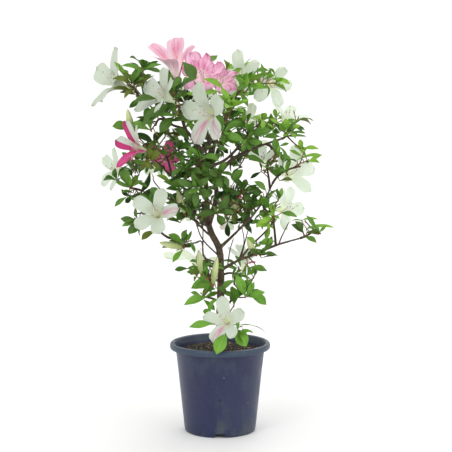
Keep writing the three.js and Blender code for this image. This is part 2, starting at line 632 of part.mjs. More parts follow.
// The pot: one turned profile, its foot pad, four notches in the foot ring and four drain holes.
function buildPot() {
  const lipFoot = potHeight - lipHeight;
  const inner = (z) => wallFootRadius - wallThick
    + ((wallTopRadius - wallFootRadius) * (z - 4)) / (lipFoot - 4);
  const profile = [
    [0, floorUnder], [footRingInner, floorUnder], [footRingInner + 1, 0], [wallFootRadius - 2.2, 0],
    [wallFootRadius - 0.6, 1.4], [wallFootRadius, 4], [wallTopRadius, lipFoot - 0.6],
    [rimRadius - 2.2, lipFoot], [rimRadius - 0.3, lipFoot + 1.8], [rimRadius, lipFoot + 4.5],
    [rimRadius - 1.4, potHeight - 1.2], [rimRadius - 4.4, potHeight], [rimRadius - 6.6, potHeight - 1],
    [rimRadius - 7.6, potHeight - 3.4], [inner(soilTop - 2), soilTop - 2],
    [inner(floorTop + 2), floorTop + 2], [inner(floorTop) - 2, floorTop], [0, floorTop],
  ].map(([r, z]) => new THREE.Vector2(r, z));
  let pot = solidOf(new THREE.LatheGeometry(profile, potSides).rotateX(Math.PI / 2));
  const pad = new THREE.CylinderGeometry(footPadRadius + 1, footPadRadius, floorUnder + 1, 24)
    .rotateX(Math.PI / 2).translate(0, 0, (floorUnder + 1) / 2);
  pot = pot.add(solidOf(pad));
  const arch = new THREE.Shape();
  arch.moveTo(-notchWidth / 2, -2);
  arch.lineTo(notchWidth / 2, -2);
  arch.lineTo(notchWidth / 2 - 1, notchHeight - 2);
  arch.lineTo(notchWidth / 2 - 3.5, notchHeight);
  arch.lineTo(3.5 - notchWidth / 2, notchHeight);
  arch.lineTo(1 - notchWidth / 2, notchHeight - 2);
  const notch = new THREE.ExtrudeGeometry(arch, { depth: 20, bevelEnabled: false })
    .rotateX(Math.PI / 2).translate(0, 8 - footRingInner, 0);
  const drain = new THREE.CylinderGeometry(drainRadius, drainRadius, 8, 10)
    .rotateX(Math.PI / 2).translate(drainOut, 0, floorTop - 1).rotateZ(Math.PI / 4);
  for (let k = 0; k < 4; k += 1) {
    pot = pot.subtract(solidOf(notch)).subtract(solidOf(drain));
    notch.rotateZ(Math.PI / 2);
    drain.rotateZ(Math.PI / 2);
  }
  return { mesh: meshOf(pot, "pot", potPaint), inner };
}

// Soil fills the pot to a slightly uneven top, level where the trunk stands.
function buildSoil(inner) {
  const random = seeded(101);
  const edge = inner(soilEdge) - gap;
  const profile = [
    [0, floorTop + gap], [inner(floorTop) - 3, floorTop + gap],
    [inner(floorTop + 3) - gap, floorTop + 3], [edge, soilEdge], [edge - 6, soilEdge + 2.2],
    [edge - 16, soilTop - 0.6], [edge - 30, soilTop - 0.4], [18, soilTop], [0, soilTop],
  ].map(([r, z]) => new THREE.Vector2(r, z));
  const body = new THREE.LatheGeometry(profile, soilSides).rotateX(Math.PI / 2);
  const places = body.attributes.position;
  const lifts = new Map();
  for (let i = 0; i < places.count; i += 1) {
    const [x, y, z] = [places.getX(i), places.getY(i), places.getZ(i)];
    if (z < soilEdge + 1 || Math.hypot(x, y) < 20) continue;
    const key = `${Math.round(x * 10)},${Math.round(y * 10)}`;
    if (!lifts.has(key)) lifts.set(key, (random() - 0.5) * 2 * soilRough);
    places.setZ(i, z + lifts.get(key));
  }
  return meshOf(solidOf(body), "soil", soilPaint);
}

const shrub = new THREE.Group();
shrub.name = "azalea_in_pot";
const pot = buildPot();
shrub.add(pot.mesh, buildSoil(pot.inner));
for (const limb of Object.values(limbs)) shrub.add(buildLimb(limb));
for (const mass of massRows) shrub.add(buildMass(mass));

export default shrub;
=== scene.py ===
# Azalea in its nursery pot: bark, twigs, leaves, blossoms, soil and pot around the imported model.
# Growth is worked out in millimetres, as in the model's own rule, and meshes are made in metres.
import bpy
import math
import numpy as np
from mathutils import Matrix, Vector, noise


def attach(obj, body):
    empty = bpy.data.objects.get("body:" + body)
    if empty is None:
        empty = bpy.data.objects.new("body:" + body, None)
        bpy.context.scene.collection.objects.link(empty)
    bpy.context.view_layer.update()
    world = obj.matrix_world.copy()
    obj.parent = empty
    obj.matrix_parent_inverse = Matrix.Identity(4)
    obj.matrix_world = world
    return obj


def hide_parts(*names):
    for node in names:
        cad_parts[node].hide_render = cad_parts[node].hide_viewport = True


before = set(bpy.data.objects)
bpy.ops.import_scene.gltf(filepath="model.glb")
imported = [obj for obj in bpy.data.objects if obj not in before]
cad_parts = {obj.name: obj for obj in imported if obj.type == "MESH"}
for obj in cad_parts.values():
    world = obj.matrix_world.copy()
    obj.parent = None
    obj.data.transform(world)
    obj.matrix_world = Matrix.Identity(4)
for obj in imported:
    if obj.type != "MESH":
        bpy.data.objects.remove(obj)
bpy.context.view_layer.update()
mm = 0.001
fullTurn = 2 * math.pi
goldenTurn = 2.399963
seeds = {"leaves": 11, "petals": 23, "stamens": 31, "chips": 41}
foliageNodes = sorted(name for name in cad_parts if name.startswith("foliage_"))
boughNodes = sorted(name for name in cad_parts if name.startswith("bough_"))


def setMode(mode):
    bpy.ops.object.mode_set(mode=mode)


def deselectAll():
    if bpy.context.object and bpy.context.object.mode != "OBJECT":
        setMode("OBJECT")
    bpy.ops.object.select_all(action="DESELECT")


def pickOnly(piece):
    deselectAll()
    piece.select_set(True)
    bpy.context.view_layer.objects.active = piece


def addNamed(name, operator, **values):
    deselectAll()
    operator(**values)
    piece = bpy.context.object
    piece.name = piece.data.name = name
    return piece


def addShape(name, operator, **values):
    # a new primitive with its place and size in its mesh
    piece = addNamed(name, operator, **values)
    bpy.ops.object.transform_apply(location=True, rotation=True, scale=True)
    return piece


def takeShape(piece):
    # the shape of what is copied many times, as arrays: its corners, faces and UV map; the object goes
    mesh = piece.data
    places = np.array([vertex.co for vertex in mesh.vertices])
    faces = [list(polygon.vertices) for polygon in mesh.polygons]
    uvs = np.array([loop.uv for loop in mesh.uv_layers.active.data])
    bpy.data.objects.remove(piece)
    return places, faces, uvs


def applyModifier(piece, kind, **values):
    pickOnly(piece)
    modifier = piece.modifiers.new(kind.title(), kind)
    for key, value in values.items():
        setattr(modifier, key, value)
    bpy.ops.object.modifier_apply(modifier=modifier.name)


def editAll(piece):
    pickOnly(piece)
    setMode("EDIT")
    bpy.ops.mesh.select_all(action="SELECT")


def selectVertices(piece, test):
    # leaves the piece in edit mode with just the vertices that pass the test picked
    setMode("EDIT")
    bpy.ops.mesh.select_mode(type="VERT")
    bpy.ops.mesh.select_all(action="DESELECT")
    setMode("OBJECT")
    for vertex in piece.data.vertices:
        vertex.select = bool(test(vertex.co))
    setMode("EDIT")


def finishPiece(piece, material, slot="foliage", nodes=foliageNodes):
    piece.data.materials.clear()
    piece.data.materials.append(material)
    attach(piece, "root")
    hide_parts(*nodes)


# Camera and light

camera = {"place": (0.0089, -1.9, 0.509), "pitch": 6.04, "focal": 1287, "frame": 452, "sensor": 36,
          "far": 50}
studio = {"floor": 14.0, "sweepDepth": 2.2, "sweepHeight": 3.2, "sweepRound": 0.9, "sweepSteps": 16,
          "world": 1.02, "aim": (0, 0, 0.32)}
# Lamps: place, size, power and colour
lamps = {
    "keyLight": ((-1.5, -2.1, 2.2), 1.6, 17, (1.0, 0.985, 0.96)),
    "fillLight": ((1.9, -1.7, 1.1), 1.8, 10, (0.96, 0.98, 1.0)),
    "rimLight": ((0.4, 1.5, 2.1), 1.4, 12, (1.0, 1.0, 1.0)),
}


def addCamera():
    eye = addNamed("camera", bpy.ops.object.camera_add, location=camera["place"])
    eye.rotation_euler = (math.radians(90 - camera["pitch"]), 0, 0)
    eye.data.sensor_width = camera["sensor"]
    eye.data.lens = camera["focal"] * camera["sensor"] / camera["frame"]
    eye.data.clip_end = camera["far"]
    bpy.context.scene.camera = eye


def addStudio():
    size = studio["floor"]
    floor = addShape("studioFloor", bpy.ops.mesh.primitive_plane_add, size=size,
                     location=(0, studio["sweepDepth"] - size / 2, 0))
    back = studio["sweepDepth"] - 0.01
    selectVertices(floor, lambda co: co.y > back)
    bpy.ops.mesh.extrude_region_move(TRANSFORM_OT_translate={"value": (0, 0, studio["sweepHeight"])})
    selectVertices(floor, lambda co: co.y > back and co.z < 0.01)
    bpy.ops.mesh.bevel(offset=studio["sweepRound"], segments=studio["sweepSteps"], affect="EDGES")
    setMode("OBJECT")
    bpy.ops.object.shade_smooth()
    floor.data.materials.append(paintMottled("paleFloor"))
    for name, (place, size, power, tint) in lamps.items():
        lamp = addNamed(name, bpy.ops.object.light_add, type="AREA", location=place)
        lamp.data.shape = "DISK"
        lamp.data.size, lamp.data.energy, lamp.data.color = size, power, tint
        lamp.rotation_euler = (Vector(studio["aim"]) - Vector(place)).to_track_quat("-Z", "Y").to_euler()
    world = bpy.data.worlds.new("softRoom")
    world.use_nodes = True
    sky = world.node_tree.nodes["Background"].inputs
    sky["Color"].default_value, sky["Strength"].default_value = (1, 1, 1, 1), studio["world"]
    bpy.context.scene.world = world
    bpy.context.scene.view_settings.view_transform = "Standard"


# Limbs, masses, blossom and buds, in millimetres, by the same rule and seeds as the solids

# Limbs: what each grows on and how far along, the radii of its foot and tip, and its bends
limbRows = {
    "trunk": (None, 0, (6.4, 1.8), [
        (0, 0, 122.3), (0, 0, 164), (1, 0, 206), (1, 2, 239), (-1, 4, 272), (-13, 6, 297), (-17, 8, 315),
        (-10, 9, 332), (-5, 10, 349), (-7, 10, 373), (-12, 10, 398), (-15, 10, 423), (-20, 12, 453),
        (-27, 14, 482), (-30, 15, 506)]),
    "bough_leader": ("trunk", 0.42, (4, 1.6), [
        (-20, 2, 336), (-20, -4, 365), (-23, -8, 392), (-27, -12, 418), (-38, -16, 435), (-50, -22, 451),
        (-68, -28, 458), (-82, -32, 466)]),
    "bough_left_high": ("bough_leader", 0.75, (2.2, 1.5), [(-58, -18, 477), (-63, -12, 506)]),
    "bough_far_left": ("bough_leader", 0.89, (1.8, 1.3), [(-92, -12, 477), (-116, 2, 497)]),
    "bough_front_high": ("trunk", 0.77, (2.4, 1.5), [(-14, -20, 436), (-3, -44, 452)]),
    "bough_right_top": ("trunk", 0.73, (2.9, 1.6), [
        (-6, -8, 439), (5, -20, 464), (14, -26, 483), (26, -30, 504)]),
    "bough_right_high": ("trunk", 0.65, (3.4, 1.7), [
        (4, 4, 392), (16, 0, 405), (30, -2, 414), (47, -4, 422), (68, -4, 430), (90, -4, 437)]),
    "bough_right_back": ("trunk", 0.71, (2.6, 1.5), [(12, 45, 407), (48, 62, 444), (73, 66, 460)]),
    "bough_right_mid": ("trunk", 0.29, (2.3, 1.5), [(19, 4, 293), (30, 4, 304), (39, 0, 315)]),
    "bough_right_up": ("bough_right_mid", 0.66, (1.7, 1.3), [(48, 14, 321), (68, 16, 349), (78, 12, 370)]),
    "bough_right_low": ("trunk", 0.22, (2.6, 1.4), [
        (15, 0, 250), (28, -2, 257), (48, -6, 265), (82, -10, 280), (101, -11, 286), (118, -12, 291)]),
    "bough_right_out": ("bough_right_low", 0.35, (1.9, 1.3), [
        (39, -6, 271), (50, -10, 284), (65, -14, 299), (77, -16, 313)]),
    "bough_left_mid": ("bough_leader", 0.13, (2, 1.2), [
        (-32, -3, 339), (-46, -4, 341), (-72, -6, 348), (-97, -4, 353), (-114, -2, 360)]),
    "bough_left_up": ("bough_leader", 0.22, (2.2, 1.4), [
        (-35, -4, 371), (-60, -8, 378), (-73, -10, 384), (-86, -14, 398), (-96, -18, 408)]),
    "bough_low_left": ("trunk", 0.21, (1.6, 1.1), [
        (-13, -6, 249), (-24, -12, 265), (-27, -14, 286), (-37, -20, 285), (-53, -24, 284), (-73, -30, 293)]),
    "bough_back_low": ("trunk", 0.34, (2.3, 1.5), [(-21, 34, 295), (-37, 62, 308)]),
    "bough_back_high": ("trunk", 0.66, (2.6, 1.6), [(-18, 40, 404), (-25, 66, 424)]),
}

# Masses: what each grows on and how far along, its heart, reach, shoots and seed, and the share of
# small twigs and lower leaves that it keeps, as some show thinner than the rest
massRows = {
    "base_bloom": ("trunk", 0.07, (9, -36, 170), 46, 3, 111, 0.2),
    "base_left": ("trunk", 0.12, (-30, 4, 201), 28, 2, 99, 0.3),
    "low_bud": ("trunk", 0.17, (-19, -24, 240), 34, 2, 38, 0.4),
    "low_right": ("trunk", 0.09, (37, -6, 214), 36, 3, 33, 0.4),
    "low_mid_right": ("bough_right_low", 0.48, (55, -14, 272), 28, 2, 101, 0.4),
    "low_back": ("trunk", 0.2, (27, 42, 228), 34, 2, 106, 0.3),
    "low_left_back": ("trunk", 0.24, (-37, 58, 226), 36, 3, 112, 0.3),
    "low_left_tuft": ("bough_low_left", 0.83, (-60, -30, 279), 24, 2, 77, 0.5),
    "left_bloom": ("bough_low_left", 1, (-98, -42, 330), 40, 3, 110, 0.4),
    "left_tips": ("bough_left_mid", 1, (-133, -2, 365), 38, 4, 70, 0.5),
    "left_bud": ("trunk", 0.38, (-57, -34, 341), 30, 3, 145, 1),
    "centre_low": ("trunk", 0.38, (-3, -50, 341), 34, 3, 103, 1),
    "centre": ("bough_leader", 0.28, (-27, -62, 388), 44, 6, 121, 1),
    "right_heart": ("bough_right_mid", 1, (35, -18, 344), 36, 4, 21, 1),
    "right_heart_back": ("trunk", 0.46, (18, 64, 318), 42, 3, 149, 1),
    "right_spray": ("bough_right_out", 1, (73, -24, 333), 32, 3, 59, 0.35),
    "right_tip": ("bough_right_low", 1, (140, -14, 304), 30, 2, 116, 0.15),
    "right_out_back": ("bough_right_low", 0.67, (80, 48, 318), 32, 2, 27, 0.4),
    "right_up_tip": ("bough_right_up", 1, (119, 6, 396), 42, 3, 10, 0.3),
    "right_up_heart": ("bough_right_up", 0.87, (70, 32, 396), 30, 2, 51, 1),
    "right_shelf": ("bough_right_high", 0.83, (82, -14, 417), 26, 2, 123, 0.5),
    "right_high_tip": ("bough_right_high", 1, (103, -4, 453), 30, 3, 40, 0.35),
    "right_high_heart": ("bough_right_high", 0.59, (41, -16, 452), 38, 4, 120, 1),
    "right_high_back": ("bough_right_back", 1, (88, 66, 452), 30, 2, 145, 0.3),
    "top_right": ("bough_right_top", 1, (58, -20, 517), 39, 4, 108, 0.45),
    "top_right_back": ("trunk", 0.9, (40, 68, 510), 44, 3, 57, 0.3),
    "front_bloom": ("bough_front_high", 1, (6, -56, 460), 52, 3, 125, 1),
    "top_pink": ("trunk", 1, (-17, 8, 531), 44, 3, 87, 1),
    "top_left_pink": ("bough_left_high", 1, (-56, 34, 514), 42, 3, 92, 1),
    "top_left_white": ("bough_left_high", 0.7, (-58, -38, 486), 44, 3, 87, 1),
    "far_left": ("bough_far_left", 1, (-128, 0, 514), 46, 4, 144, 0.5),
    "left_fan": ("bough_leader", 1, (-92, -46, 458), 28, 3, 55, 1),
    "left_flower": ("bough_left_up", 1, (-96, -24, 421), 42, 3, 3, 1),
    "left_pale": ("bough_left_up", 0.8, (-134, 44, 388), 36, 2, 125, 1),
    "left_heart": ("bough_left_up", 0.56, (-80, 2, 415), 34, 3, 2, 1),
    "back_top": ("trunk", 0.88, (-37, 70, 481), 42, 3, 103, 1),
    "back_heart": ("bough_back_high", 1, (-22, 84, 417), 42, 3, 109, 1),
    "back_left": ("bough_leader", 0.37, (-83, 74, 402), 42, 4, 107, 1),
    "back_right": ("bough_right_back", 0.46, (46, 78, 402), 38, 3, 136, 1),
    "back_low": ("bough_back_low", 1, (-47, 76, 325), 40, 3, 71, 1),
}

# Blossoms: mass, mouth, turn, rise, half across, opening, roll, petals, and what else differs from the
# common form. Petals, turns and reach go round from the top: w white, f freckled, s streaked, b blush,
# p pink, m magenta, r ruffled, h half magenta.
bloomRows = [
    ("base_bloom", (9, -57, 174), -24, 16, 35, 75, 10, "wwsww", {"reach": (1.08, 1, 1, 0.84, 1)}),
    ("low_left_back", (-37, 76, 242), 166, 64, 47, 76, 32, "wwwww", {"reach": (0.6, 1, 1, 1.34, 0.92)}),
    ("low_back", (35, 31, 245), 36, 64, 29, 47, -3, "wwwmw", {"reach": (1, 1.16, 1, 0.62, 1)}),
    ("left_bloom", (-90, -63, 331), -16, 26, 35, 67, -12, "wwwws", {"reach": (1.08,) * 5}),
    ("left_flower", (-115, -43, 424), -58, 16, 37, 52, 15, "hhmmw",
     {"slim": 0.88, "fused": 0.32, "turns": (12, -10, 0, 0, 22), "reach": (1.08, 1, 1, 0.8, 1)}),
    ("left_pale", (-151, 39, 387), -58, 9, 34, 59, -12, "wwwww", {}),
    ("far_left", (-146, 12, 515), -68, 24, 46, 57, 0, "wwwww",
     {"turns": (10, 8, 19, 0, 0), "reach": (1.14, 1.18, 1, 1, 1)}),
    ("top_left_white", (-74, -53, 497), -59, 26, 40, 58, 8, "fffff",
     {"turns": (0, -8, -22, 0, 0), "reach": (1, 1.04, 1.14, 1, 1)}),
    ("top_left_pink", (-65, 17, 539), -24, 68, 43, 45, 12, "ppppp",
     {"flare": 26, "fused": 0.26, "turns": (0, -2, -10, 0, -40), "reach": (0.87, 1.04, 1.12, 1, 0.8)}),
    ("top_pink", (-24, -12, 525), -14, 30, 33, 60, 0, "rrrrr",
     {"ruffle": 0.16, "flare": 12, "turns": (-4, -38, 0, 0, 0), "reach": (1, 1.24, 1, 1, 1)}),
    ("top_pink", (1, -11, 519), 26, 24, 27, 56, 10, "rrrrr",
     {"ruffle": 0.16, "flare": 12, "reach": (1, 1, 1, 0.9, 0.88)}),
    ("front_bloom", (-13, -74, 476), -47, -4, 47, 71, 10, "wwssw", {}),
    ("top_right_back", (35, 41, 526), -27, 18, 39, 59, 12, "wwwww", {"slim": 0.84}),
    ("top_right_back", (77, 24, 516), 24, -13, 32, 66, -19, "wbwww",
     {"turns": (0, 0, -9, 0, 12), "reach": (1, 1, 1.2, 1, 0.88)}),
    ("right_high_back", (99, 56, 464), 55, 64, 30, 57, 6, "wwwww", {}),
    ("right_high_heart", (44, 19, 464), 165, 40, 30, 62, 20, "wwwbw", {"reach": (0.82,) * 5}),
    ("back_right", (50, 102, 416), 180, 30, 27, 65, 0, "wwsww", {}),
    ("right_up_heart", (65, 19, 400), -13, 64, 23, 47, 13, "wwwww", {}),
    ("right_up_heart", (101, 41, 384), 42, 12, 41, 59, -11, "wwwwf",
     {"turns": (0, 0, 0, 14, 0), "reach": (1, 1, 0.62, 1.04, 1)}),
    ("right_out_back", (94, 19, 330), 51, 6, 36, 66, -17, "wwwww",
     {"turns": (6, -22, 14, 0, 0), "reach": (1, 1, 1, 0.6, 1)}),
    ("right_heart_back", (15, 82, 336), 200, 10, 26, 58, 0, "bmbwb", {}),
    ("right_heart_back", (10, 82, 309), 170, -25, 22, 55, 0, "wwwbw",
     {"reach": (0.85, 0.85, 0.75, 0.75, 0.85)}),
    ("left_heart", (-84, 32, 406), 165, 20, 23, 60, 20, "mmmmm", {"reach": (1.12, 1.12, 1.3, 1.3, 1.12)}),
    ("back_top", (-38, 104, 493), 185, 20, 32, 75, 0, "wwsww", {}),
    ("back_left", (-98, 112, 397), 210, 5, 28, 75, 0, "wwwws", {}),
    ("back_low", (-55, 108, 314), 190, 5, 30, 75, 0, "wswww", {"reach": (0.72, 0.72, 0.42, 0.42, 0.72)}),
]

# Buds: mass, foot, tip and radius
budRows = [
    ("low_bud", (-27, -24, 240), (-31, -24, 274), 4), ("low_bud", (-10, -30, 226), (-4, -30, 264), 4),
    ("low_left_tuft", (-55, -28, 280), (-87, -28, 286), 4.4),
    ("left_bud", (-51, -38, 331), (-62, -38, 363), 4.2),
    ("left_flower", (-128, -34, 454), (-133, -34, 480), 4),
    ("right_heart", (28, -14, 333), (16, -14, 349), 4.4),
    ("low_mid_right", (52, -26, 270), (40, -28, 291), 4),
]

# Sky that the photo shows between the leaves: middle and radius in its pixels
skyWindows = {
    "rightOfPink": (256, 106, 8), "underTopRight": (245, 171, 7), "leftShelf": (150, 130, 8),
    "behindPalePetals": (163, 139, 5), "besideShelf": (256, 167, 6), "underRightShelf": (268, 176, 6),
    "rightOfTrunk": (252, 262, 5), "leftOfFork": (190, 222, 4), "underLeftBloom": (180, 231, 5),
    "overRightHigh": (266, 105, 8), "overSpray": (308, 207, 9), "rightOfSpray": (320, 208, 9),
    "rightOfBase": (260, 279, 7), "underTips": (127, 187, 5), "leftOfBloom": (122, 210, 6),
    "besideTopRight": (270, 58, 8), "leftOfBase": (196, 312, 8), "leftOfLowBud": (186, 276, 5),
    "overPinkPair": (211, 50, 6), "besidePinkPair": (222, 53, 6), "overFarBroad": (142, 56, 7),
    "overUpSlim": (310, 142, 5), "overUpLong": (313, 154, 4), "leftOfHigh": (268, 113, 4),
    "underHighTip": (301, 117, 4), "overHighLeaves": (268, 64, 4), "rightOfBloom": (246, 322, 6),
    "outerTip": (326, 214, 7), "underOuterTip": (330, 236, 6),
}
# What the photo shows in front of the leaves: middle and radius in its pixels, and its depth
shownThings = {
    "firstBud": (171, 243, 5, -28), "firstBudFoot": (178, 246, 5, -28), "secondBud": (198, 257, 5, -24),
    "thirdBud": (216, 266, 5, -30), "thirdBudFoot": (214, 277, 4, -30), "flowerBud": (178, 199, 4, -38),
    "rightBud": (237, 205, 5, -14), "topRightPetal": (237, 57, 8, 41), "nextPetal": (252, 64, 8, 41),
    "highBackPetal": (281, 114, 7, 56), "bigRightPetal": (302, 172, 10, 41),
    "lowRightPetal": (283, 202, 8, 19), "otherHighPetal": (292, 112, 7, 56), "lowRightBud": (251, 242, 7, 0),
}
# Leaves that show singly, by finish: root and tip, each a pixel of the photo and a depth, and half width
singleLeaves = {
    "bright": {
        "besideBase": ((214, 324, -58), (188, 327, -64), 6),
        "overPotRight": ((240, 325, -50), (267, 332, -40), 4.5),
        "underBaseRight": ((234, 329, -54), (247, 347, -62), 10),
        "overLip": ((226, 333, -64), (216, 355, -80), 9.5),
        "baseHighLeft": ((208, 297, -20), (183, 305, -34), 6.5),
        "baseHighRight": ((249, 293, -14), (267, 305, -22), 8),
        "budLeft": ((182, 243, -30), (168, 234, -36), 6.5),
        "budUnder": ((183, 250, -30), (172, 263, -36), 4.5),
        "bloomFresh": ((145, 224, -30), (121, 226, -40), 6.5),
        "heartFrontSide": ((205, 179, -56), (226, 184, -68), 6.5),
        "lowFresh": ((258, 245, -18), (275, 241, -24), 5.5),
    },
    "fresh": {
        "farLong": ((127, 80, -14), (114, 61, -22), 4), "midFresh": ((170, 183, -24), (156, 175, -30), 4.4),
        "topWide": ((243, 87, -36), (269, 88, -46), 5), "topHigh": ((240, 85, -36), (257, 75, -46), 6),
        "lowFreshLeft": ((256, 244, -18), (246, 237, -24), 4.5),
        "leftOther": ((130, 134, -20), (141, 125, -30), 6.5),
        "topSlim": ((225, 92, -40), (203, 78, -62), 4.5), "topThin": ((222, 93, -42), (202, 95, -60), 4),
        "topBroad": ((243, 90, -36), (247, 72, -50), 8), "topLong": ((247, 83, -30), (274, 73, -38), 5.5),
        "topRightSlim": ((271, 79, -10), (291, 84, -16), 5),
        "highRound": ((284, 131, -16), (286, 118, -20), 6),
        "highLeft": ((282, 128, -14), (269, 118, -20), 3.5),
        "highRight": ((291, 130, -10), (301, 125, -10), 3.5),
        "upSmall": ((301, 148, -14), (300, 139, -16), 4), "upSlim": ((302, 149, -10), (320, 149, -8), 3.6),
        "upLong": ((297, 160, -8), (322, 154, 0), 3.2), "tipLong": ((306, 229, -18), (335, 227, -24), 4.2),
        "tipThin": ((301, 220, -16), (319, 219, -16), 2.2),
    },
    "mid": {
        "rightSlim": ((250, 291, -10), (262, 293, -14), 3.5),
        "rightArched": ((248, 268, -20), (268, 271, -26), 5.5),
        "lowBroad": ((210, 284, -30), (194, 288, -40), 6.5),
        "lowOver": ((209, 281, -30), (198, 278, -36), 5),
        "rightRound": ((242, 291, -16), (251, 279, -24), 8),
        "rightUnder": ((243, 291, -16), (233, 297, -26), 6.5),
        "budUp": ((183, 242, -30), (187, 229, -34), 5), "budThin": ((188, 242, -28), (192, 230, -28), 2.2),
        "farBroad": ((144, 73, -20), (121, 65, -34), 6.5),
        "farRound": ((131, 84, -22), (141, 69, -34), 7.5),
        "farArched": ((144, 70, -20), (162, 64, -26), 3.5),
        "fanMid": ((178, 118, -52), (156, 115, -70), 5.5),
        "bloomMid": ((143, 225, -30), (130, 234, -38), 5),
        "tipsLong": ((127, 197, -12), (114, 207, -18), 3.6),
        "tipsUpper": ((133, 193, -12), (121, 192, -18), 3.4),
        "midLeaf": ((184, 188, -34), (163, 181, -42), 7),
        "midLower": ((180, 191, -30), (165, 189, -38), 4.5),
        "shelfLower": ((281, 137, -12), (263, 137, -22), 4.6),
        "heartRight": ((266, 191, -22), (254, 181, -30), 5.5),
        "leftRound": ((128, 129, -20), (112, 126, -26), 8),
        "trunkFront": ((221, 291, -24), (235, 280, -32), 5),
        "trunkSide": ((222, 292, -24), (233, 296, -30), 4.5),
        "outShelf": ((281, 213, -20), (298, 217, -26), 5), "lowTuft": ((262, 221, -20), (251, 224, -24), 4),
        "leaderLeft": ((197, 137, -36), (188, 122, -46), 5.5),
        "heartTop": ((211, 165, -40), (222, 153, -48), 5.5),
        "underBloom": ((180, 223, -30), (167, 219, -36), 4.2),
        "topHang": ((240, 93, -34), (248, 107, -44), 4),
        "heartFront": ((204, 178, -56), (224, 172, -68), 8),
        "heartFrontLeft": ((203, 179, -56), (184, 170, -68), 8),
        "heartFrontUp": ((204, 177, -54), (205, 160, -62), 7.5),
        "heartFrontLow": ((203, 180, -56), (188, 188, -68), 7),
        "highLevel": ((291, 133, -10), (306, 133, -12), 2.6),
        "upLeft": ((265, 164, -4), (245, 156, -12), 5.5),
        "heartUp": ((234, 182, -44), (243, 169, -50), 6.5),
        "tipUnder": ((305, 237, -20), (317, 243, -28), 4.6),
    },
    "deep": {
        "farLevel": ((144, 70, -20), (163, 73, -30), 3.5), "fanDark": ((156, 99, -56), (133, 102, -70), 7),
        "fanLong": ((170, 105, -50), (141, 127, -72), 9.5),
        "fanDrooping": ((174, 117, -56), (159, 133, -66), 8),
        "leaderDark": ((190, 141, -34), (173, 128, -44), 6.5),
        "tipsLevel": ((139, 197, -12), (126, 198, -16), 2.4),
        "heartLower": ((263, 193, -22), (249, 189, -30), 4.6),
        "pinkDark": ((183, 62, -30), (196, 80, -34), 9),
        "trunkFrontLow": ((216, 288, -26), (227, 291, -30), 4.5),
        "tipBehind": ((303, 233, -14), (291, 224, -18), 5),
        "fanUpper": ((191, 119, -44), (171, 121, -54), 6),
        "tipBack": ((303, 231, -16), (295, 221, -22), 4.6),
    },
    "olive": {
        "rightThin": ((262, 258, -24), (277, 255, -24), 2.2),
        "lowSlim": ((201, 271, -24), (190, 275, -28), 3.5), "farOlive": ((132, 92, -12), (112, 88, -22), 5),
        "farBrown": ((136, 95, -12), (119, 92, -16), 4),
        "bloomOlive": ((155, 231, -36), (141, 240, -44), 5.5),
        "upOlive": ((280, 181, -12), (293, 180, -16), 3.8),
        "tipOlive": ((306, 233, -24), (322, 234, -32), 4.6),
    },
}
# The way a single leaf faces, where it isn't the common one
leafFaces = {
    "overPotRight": (0, -0.25, 1), "overLip": (-0.2, -1, 0.3), "rightRound": (0.2, -1, 0.2),
    "budUp": (-0.8, -0.6, 0), "highRound": (0.3, -1, 0.2),
}
# Bare twigs between the boughs: bough, place along it, radius, and the pixels and depths they pass
bareTwigs = {
    "acrossTrunk": ("trunk", 0.26, 1.3, (203, 240, -4), (196, 223, -10)),
    "leftUpright": ("trunk", 0.24, 1.2, (204, 257, -8), (203, 243, -12), (203, 228, -14)),
    "leftOut": ("trunk", 0.39, 1.3, (195, 221, -10), (184, 214, -16)),
    "fromLow": ("bough_right_low", 0.12, 1, (230, 250, -4), (233, 240, -8)),
    "lowUpright": ("bough_right_low", 0.33, 1, (244, 243, -8), (242, 227, -12)),
    "lowOther": ("bough_right_low", 0.36, 1, (246, 238, -8), (249, 227, -10)),
    "shelfTwig": ("bough_right_low", 0.7, 1.2, (282, 236, -12), (288, 224, -14)),
    "hanging": ("bough_right_low", 0.46, 1, (256, 267, -12), (252, 281, -14)),
    "leftHanging": ("bough_left_mid", 0.62, 1.1, (155, 183, -10), (153, 176, -12)),
}
# The way a single leaf faces, the radii of its stalk, and how it bends from foot to tip
singleLook = {"face": (0, -0.75, 0.65), "stalk": (0.85, 0.6), "bends": (0.42, -0.48)}
# The growth rule, in millimetres, shares and degrees. A pair may be a least value and what a draw can add.
growth = {
    "leafLength": 37, "leafWidth": 15.5, "leavesAround": 6, "knobFoot": 1.4, "knobRadius": 2.4, "stem": 2.1,
    "spaceGap": 0.5, "leafSpill": 9, "bloomRoot": 0.9, "budRoot": 0.86, "sampleStep": 3, "leafRoll": 0.6,
    "shown": (0.88, 0.2), "slim": (0.155, 0.06), "oliveShare": 0.07, "lift": (0.25, 0.9),
    "crownMiddle": (-28, 0, 375), "crownReach": 190, "lowSprays": 300, "leftSprays": -70,
    "freshOver": 0.55, "midOver": 0.3, "shares": (0.62, 0.48, 0.34, 0.22), "sideTwigs": (0.35, 0.7),
    "stemTwigs": (0.45, 0.63, 0.81), "innerLeaves": (2, 2.5), "underLeaves": (2, 3), "sideLeaves": (4, 2.6),
    "setBack": (3, 5), "sideReach": (9, 11), "shootRadii": (1.15, 0.95), "sideRadii": (0.75, 0.6),
    "stemRadii": (2.0, 1.3), "bareTaper": 0.65, "smallTip": 0.7, "shootsFrom": 0.94, "shootsSpan": 0.4,
    "turnBySeed": 1.7, "flatten": 0.9, "raise": 0.3, "lean": 0.4, "shootRoom": 2.5, "nearby": 60, "bow": 1.2,
}
# Where a leaf is tried for room, as shares of its length and rises in millimetres
leafSpots = {"middle": 0.5, "middleRise": 1.3, "tipDrop": 0.08, "widest": 0.56, "sideRise": 0.9}
